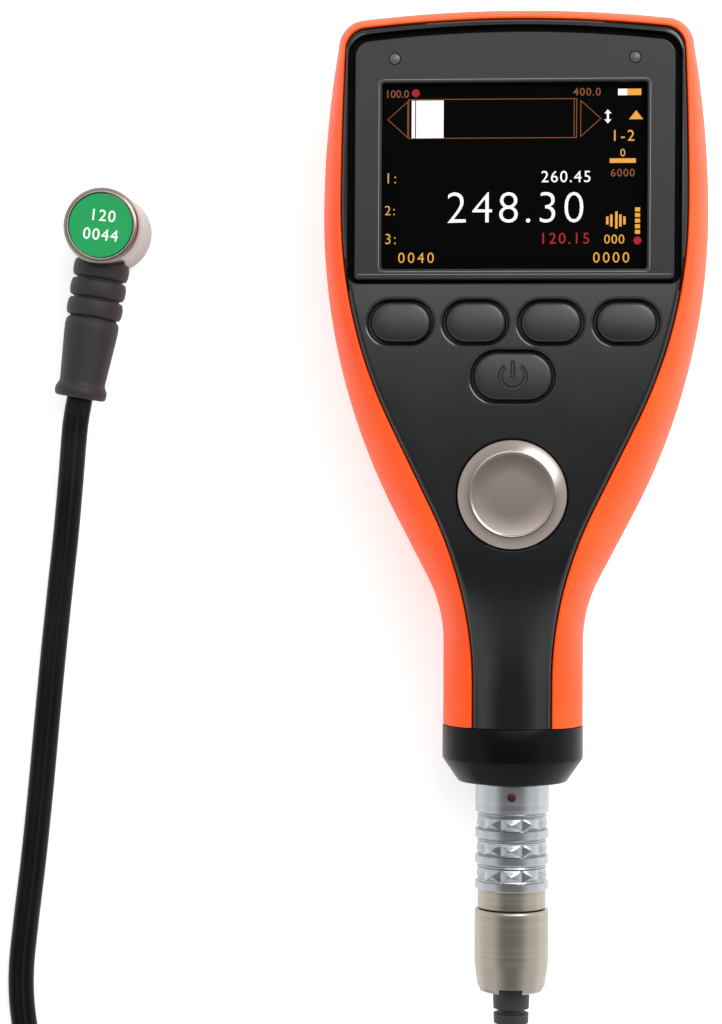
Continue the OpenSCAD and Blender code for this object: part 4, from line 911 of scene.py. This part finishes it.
# %% Dim orange outlines: the bar, its arrow ends and the small figures; then the red marks
panel_piece("panel_dim", "lit_dim", figures=[
    ("100.0", 2, 13, 8, 0.01, "LEFT", 1.0), ("400.0", 218, 12, 8, 0.01, "RIGHT", 1.15),
    ("6000", 240, 93, 8, 0.01, "CENTER", 1.15)],
    closed=[[(26, 15), (194, 15), (194, 54), (26, 54)], [(25, 17), (25, 53), (5, 35)],
            [(198, 17), (198, 53), (218, 35)]],
    open_lines=[[(191.5, 15), (191.5, 54)]])
panel_piece("panel_red", "lit_red", figures=[("120.15", 208, 160, 11.5, 0.0, "RIGHT", 1.2)],
            shapes=[dot(33, 8.5, 4), dot(255, 157, 4)])
panel_piece("panel_red_line", "lit_red", shapes=[corners(32.3, 16, 33.5, 54)], z=PANEL_Z + 0.03)

# %% The window over the panel
tree, shader, coords = new_material("window_glass")
gloss = value_range(tree, noise_node(tree, coords, 60.0), 0.2, 0.24)
feed(tree, shader, {"Base Color": (0.02, 0.02, 0.022, 1), "Alpha": 0.04,
                    "Specular IOR Level": 0.05, "Roughness": gloss})
print("the display has its frame, lit figures and window")

# %% [markdown]
# ## Keys
# Each key is a soft bar with round ends: a crowned top, a rounded edge and a straight
# side down to a flange. The power key has its sign sunk in it.

# %% A key cap from rings, the outermost first
CAP_TOP = BODY_DEPTH + 0.3
STEM_END, CAP_FOOT, FLANGE_TOP, STEM_D, FLANGE_RIM = 28.6, 31.9, 32.9, 3.0, 1.6
FILLET, FILLET_STEPS = 0.7, 6


def key_cap(name, x, y, w, h, crown_r, body):
    def crown(dx, dy):
        return CAP_TOP - crown_r + sqrt(crown_r ** 2 - dx * dx - dy * dy)

    rings = [bar_ring(STEM_D, STEM_D, z, 0, x, y) for z in (STEM_END, CAP_FOOT)]
    rings += [bar_ring(w + FLANGE_RIM, h + FLANGE_RIM, z, 0, x, y) for z in (CAP_FOOT, FLANGE_TOP)]
    rings.append(bar_ring(w, h, FLANGE_TOP, 0, x, y))
    rings += [bar_ring(w, h, 0, FILLET * (1 - cos(a)), x, y,
                       lambda dx, dy: crown(dx, dy) - FILLET * (1 - sin(a)))
              for a in arc(0, 90, FILLET_STEPS)]
    rings += [bar_ring(w, h, 0, min(inset, h / 2 - 0.05), x, y, crown)
              for inset in (1.3, 1.9, 2.5, 3.1, h / 2 - 0.05)]
    return place(outward(lofted(rings)), name, "key_rubber", (body,), body)


for i, (x, y) in enumerate(key_places, 1):
    key_cap(f"soft_key_cap_{i}", x, y, KEY_W, KEY_H, 26, f"soft_key_{i}")
power_cap = key_cap("power_key_cap", 0, POWER_Y, POWER_W, POWER_H, 44, "power_key")

# %% The sunk power sign, cut with sloping walls
SIGN_R, SIGN_FOOT, SIGN_MOUTH = 2.3, 0.26, 0.5
SIGN_LOW, SIGN_HIGH = 36.1, 36.8
SIGN_GAP, SIGN_STEPS = 38, 40


def sign_ring(r, z):
    return [Vector((r * sin(a), POWER_Y + r * cos(a), z))
            for a in arc(SIGN_GAP, 360 - SIGN_GAP, SIGN_STEPS)]


sign_levels = ((SIGN_LOW, SIGN_FOOT), (SIGN_HIGH, SIGN_MOUTH))
ring_cut = lofted([sign_ring(SIGN_R - half, z) + sign_ring(SIGN_R + half, z)[::-1]
                   for z, half in sign_levels])
bar_cut = lofted([rect_ring(-half, half, POWER_Y - half, POWER_Y + SIGN_R + half + 0.2, z,
                            half * 0.9) for z, half in sign_levels])
cut(power_cap, [ring_cut, bar_cut])
weigh_normals(power_cap)

# %% [markdown]
# ## Zero disc
# The steel disc is a reference block: the probe is set on it to read its known
# thickness. It is spun from a profile with a wide bevelled ring and a sunk flat.

# %% The disc
turned_metal("disc_steel", (155, 143, 136), (155, 143, 136), (0.275, 0.275), (0, DISC_Y, 0),
             scale=5000.0, strength=0.0)
disc_profile = [(0, 35.0), (10.02, 35.0), (10.05, 35.1), (10.05, 36.7), (10.0, 36.85),
                (9.86, 36.98), (8.1, 37.66), (7.9, 37.74), (7.7, 37.76), (7.55, 37.72),
                (7.42, 37.62), (7.3, 37.6), (4, 37.6), (0, 37.6)]
place(spun(disc_profile, 128, Matrix.Translation((0, DISC_Y, 0))), "zero_disc_steel",
      "disc_steel", replaces=("zero_disc",), sharp=30)

# %% [markdown]
# ## Collar and connector
# A black ring behind the grip holds the socket. The plug in it has a release sleeve
# with three rows of diamonds, a plain ring, and a collet nut that tapers towards the
# lead. They all share one axis.

# %% Turning a profile about the neck's axis, away from the case
def lying(x, y, z, turned_by=0.0):
    return (Matrix.Translation((x, y, z)) @ Matrix.Rotation(turned_by, 4, "Z")
            @ Matrix.Rotation(pi / 2, 4, "X"))


def about_neck(profile, start_y, steps=96, closed=False):
    return spun(profile, steps, lying(0, start_y, NECK_AXIS), closed)


NECK_TILT = (pi / 2, 0, 0)
collar_profile = [(10.3, 0), (13.1, 0), (13.32, 0.1), (13.4, 0.35), (13.4, 6.1), (13.3, 6.4),
                  (13.1, 6.75), (10.55, 10.45), (10.35, 10.68), (10.05, 10.8), (6.7, 10.8),
                  (6.6, 10.7), (6.6, 10.3), (5.65, 10.3), (5.65, 8.4), (9.3, 8.4), (9.3, 0)]
place(about_neck(collar_profile, -62.4, 128, closed=True), "collar_ring", "collar_plastic",
      replaces=("collar",), sharp=30)

PLUG_Y, SLEEVE_Y, NUT_Y = -73.2, -73.3, -97.5
turned_metal("sleeve_metal", (164, 167, 169), (174, 177, 179), (0.26, 0.32), (0, 0, NECK_AXIS),
             NECK_TILT, strength=0.08)
turned_metal("nickel_metal", (156, 148, 136), (168, 161, 150), (0.3, 0.36), (0, 0, NECK_AXIS),
             NECK_TILT, strength=0.08)
SLEEVE_R, SLEEVE_LEN, BORE_R, SKIRT_R, SKIRT_FROM = 7.0, 20.4, 5.95, 6.55, 18.85
ROW_MIDDLES, ROW_HALF, ROW_END, COLUMNS, GRIP_DEPTH = (7.7, 12.6, 17.5), 1.15, 1.12, 10, 0.6
SLOT_LEAD, SLOT_HALF, SLOT_DEPTH = 1.65, 0.42, 0.6
CHAMFERS = ((0.25, 0.3), (0.15, 0.2))


def sleeve_radius(turns, h):
    r = SLEEVE_R - sum(depth * max(0.0, 1 - from_end / length)
                       for (depth, length), from_end in zip(CHAMFERS, (h, SLEEVE_LEN - h)))
    for middle in ROW_MIDDLES:
        v = abs(h - middle) / ROW_HALF
        if v < ROW_END:
            u = abs((turns * COLUMNS) % 1.0 - 0.5) * 2
            peak = max(0.0, 1 - max(u, v) * 0.98)
            r = mixed(r, SLEEVE_R - GRIP_DEPTH * (1 - peak), min(1.0, (ROW_END - v) / 0.1))
        slot = abs(h - middle + SLOT_LEAD) / SLOT_HALF
        r -= SLOT_DEPTH * max(0.0, 1 - slot * slot)
    return r


around = COLUMNS * 16
sleeve_rings = [disc_ring(0, 0, BORE_R, 0, around)]
for h in [SLEEVE_LEN * t for t in shares(120)]:
    sleeve_rings.append([Vector((*(p.xy * sleeve_radius(i / around, h)), h))
                         for i, p in enumerate(disc_ring(0, 0, 1, h, around))])
sleeve_rings += [disc_ring(0, 0, r, h, around) for r, h in
                 ((SKIRT_R, SLEEVE_LEN), (SKIRT_R, SKIRT_FROM), (BORE_R, SKIRT_FROM), (BORE_R, 0))]
sleeve_bm = outward(lofted(sleeve_rings, cap_first=False, cap_last=False))
bmesh.ops.transform(sleeve_bm, matrix=lying(0, SLEEVE_Y, NECK_AXIS), verts=sleeve_bm.verts)
sleeve_piece = place(sleeve_bm, "release_sleeve_grip", "sleeve_metal",
                     replaces=("release_sleeve",), body="release_sleeve", sharp=25)
mark_bm = spun([(0, 23.6), (0.85, 23.6), (0.85, 23.98), (0.75, 24.05), (0, 24.07)], 32,
               Matrix.Translation((0, SLEEVE_Y - 2.4, 0)))
mark_piece = place(mark_bm, "index_mark", "red_enamel",
                   replaces=("index_dot",), body="release_sleeve")

# %% The plain ring and the collet nut
shell_profile = [(0, 0), (5.88, 0), (5.88, 20.4), (6.42, 20.4), (6.5, 20.48), (6.5, 24.0),
                 (6.35, 24.15), (6.1, 24.25), (5.6, 24.3), (5.6, 29.2), (0, 29.2)]
ring_piece = place(about_neck(shell_profile, PLUG_Y), "plug_ring", "nickel_metal",
                   replaces=("plug_shell",), sharp=30)
nut_profile = [(5.65, 0), (6.7, 0), (6.9, 0.12), (7.03, 0.35), (7.05, 0.6), (7.05, 10.1),
               (6.98, 10.8), (6.4, 14.9), (6.25, 15.35), (6.0, 15.6), (5.7, 15.7), (3.6, 15.7),
               (3.55, 15.6), (3.55, 5.3), (5.65, 5.3)]
nut = place(about_neck(nut_profile, NUT_Y, closed=True), "collet_nut_body", "nickel_metal",
            replaces=("collet_nut",), sharp=30)
slots = [lofted([rect_ring(-2.2, 2.2, -8, 8, z, r=0.2) for z in (14.7, 17)]) for _ in range(2)]
for slot_cut, turned_by in zip(slots, (0, pi / 2)):
    at_nut = lying(0, NUT_Y, NECK_AXIS) @ Matrix.Rotation(turned_by, 4, "Z")
    bmesh.ops.transform(slot_cut, matrix=at_nut, verts=slot_cut.verts)
cut(nut, slots)
weigh_normals(nut)

# %% [markdown]
# ## Probe
# The probe stands on its face with its label up. Its housing is a turned cup with a
# rounded rim; the lead leaves it sideways through a boot with three ribs and a lip.

# %% The housing and its label
turned_metal("probe_metal", (128, 120, 114), (140, 132, 126), (0.24, 0.32), (PROBE_X, PROBE_Y, 0),
             strength=0.2)
housing_profile = [(6.2, 0), (7.15, 0), (7.38, 0.1), (7.5, 0.35), (7.5, 14.9), (7.44, 15.3),
                   (7.26, 15.65), (6.95, 15.9), (6.62, 16.0), (6.4, 15.96), (6.3, 15.8),
                   (6.3, 15.4), (0, 15.4), (0, 14.0), (6.2, 14.0)]
at_probe = Matrix.Translation((PROBE_X, PROBE_Y, 0))
place(spun(housing_profile, 128, at_probe), "probe_cup", "probe_metal",
      replaces=("probe_housing",), sharp=30)
label_profile = [(0, 15.4), (6.2, 15.4), (6.2, 15.85), (6.12, 15.9), (0, 15.9)]
place(spun(label_profile, 96, at_probe), "probe_label_disc", "label_print",
      replaces=("probe_label",), sharp=30)

# %% Plain numbers on the label, turned a little like the probe
moulded("label_ink", (214, 236, 214), (226, 244, 226), (0.4, 0.5))
LABEL_TOP, LABEL_TURN = 15.91, radians(-6)
for i, (text, x, y) in enumerate((("120", 0.3, 0.85), ("0044", -0.1, -2.85)), 1):
    ink_bm = bmesh.new()
    write(ink_bm, text, 2.3, (PROBE_X + x, PROBE_Y + y, LABEL_TOP), 0.02, "CENTER", 1.15,
          LABEL_TURN, 0.01)
    place(ink_bm, f"label_row_{i}", "label_ink")

# %% The boot
RIBS, FIRST_RIB, RIB_LENGTH, RIB_GAP, RIB_FOOT, RIB_RISE = 3, 6.35, 3.45, 0.4, 4.55, 0.95
boot_profile = [(0, 6.2), (4.3, 6.2)]
for i in range(RIBS):
    rib_from = FIRST_RIB + i * (RIB_LENGTH + RIB_GAP)
    for a in arc(0, 180, 12):
        boot_profile.append((RIB_FOOT + RIB_RISE * max(0.0, sin(a)) ** 0.5,
                             rib_from + RIB_LENGTH * (1 - cos(a)) / 2))
ribs_end = FIRST_RIB + RIBS * (RIB_LENGTH + RIB_GAP)
boot_profile += [(r, ribs_end + h) for r, h in
                 ((4.75, 0.05), (5.05, 0.3), (5.25, 0.8), (5.3, 1.8), (5.22, 3.2))]
boot_profile += [(4.5, 30.2), (4.52, 30.7), (4.75, 31.2), (5.0, 31.6), (5.12, 32.1), (5.12, 32.7),
                 (5.0, 33.2), (4.75, 33.5), (4.3, 33.6), (0, 33.6)]
at_boot = lying(PROBE_X, PROBE_Y, BOOT_AXIS, -BOOT_TURN)
place(spun(boot_profile, 96, at_boot), "probe_boot_rubber", "boot_rubber",
      replaces=("probe_boot",), sharp=50)

# %% [markdown]
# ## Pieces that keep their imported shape
# The inner parts and the small hardware only get their finish.

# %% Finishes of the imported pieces
packed_finishes = {
    "case_seal": "seal_rubber", "case_screws": "screw_metal", "display_window": "window_glass",
    "lcd_panel": "screen_black", "lcd_holder": "white_moulding", "led_windows": "lamp_grey",
    "keypad_mat": "key_rubber", "key_domes": "contact_metal", "main_pcb": "board_mask",
    "battery_cells": "cell_wrap", "battery_contacts": "contact_metal",
    "battery_door": "back_plastic", "door_seal": "seal_rubber", "connector_socket": "sleeve_metal",
    "socket_nut": "gold_metal", "plug_contacts": "gold_metal", "bend_relief": "relief_rubber",
    "probe_backing": "resin_dark", "probe_elements": "element_cream",
    "acoustic_barrier": "cork_brown", "delay_lines": "delay_resin"}
for node, finish in packed_finishes.items():
    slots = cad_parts[node].data.materials
    slots.clear()
    slots.append(finishes[finish])
print(len(packed_finishes), "packed pieces have their finish")

# %% [markdown]
# ## Table and light
# A plain pale table, a bright even room and two soft boxes, one of them up on the
# right, where the photograph's metal is brightest.

# %% The table
tree, shader, coords = new_material("pale_table")
mottle = ramp(tree, noise_node(tree, coords, 3.0), (0.93,) * 3, (0.95,) * 3)
feed(tree, shader, {"Base Color": mottle, "Roughness": 0.9, "Specular IOR Level": 0.1,
                    "Emission Color": (1.0, 1.0, 1.0, 1), "Emission Strength": 0.36})
table_bm = bmesh.new()
bmesh.ops.create_grid(table_bm, x_segments=1, y_segments=1, size=3.0 / MM)
bmesh.ops.translate(table_bm, vec=(0, 0, -0.2), verts=table_bm.verts)
table = linked("table", mesh_in_metres("table", table_bm))
table.data.materials.append(finishes["pale_table"])
print("the table is under the gauge")

# %% The room and the soft boxes
scene.world = bpy.data.worlds.new("room")
scene.world.use_nodes = True
room = scene.world.node_tree
WALL_GLOW, CEILING_GLOW = (1.08, 1.1, 1.12), (0.21, 0.21, 0.215)
facing, height_of = room.nodes.new("ShaderNodeTexCoord"), room.nodes.new("ShaderNodeSeparateXYZ")
feed(room, height_of, {0: facing.outputs["Generated"]})
glow = ramp(room, height_of.outputs[2], WALL_GLOW, CEILING_GLOW, 0.56, 0.86)
feed(room, room.nodes["Background"], {"Color": glow, "Strength": 1.0})


def soft_box(name, place_at, aim_at, size, power):
    data = bpy.data.lights.new(name, "AREA")
    data.shape = "RECTANGLE"
    data.size, data.size_y = size
    data.energy = power
    aimed(name, data, place_at, (Vector(aim_at) - Vector(place_at)).to_track_quat("-Z", "Y"))


soft_box("head_box", (0.07, 0.3, 0.8), (0.07, 0.3, 0.0), (0.8, 0.46), 3.1)
soft_box("key_box", (0.38, 0.4, 0.6), (0, -0.02, 0.02), (0.5, 0.3), 3.8)
scene.view_settings.view_transform = "Standard"
print("two soft boxes and the room light the table")
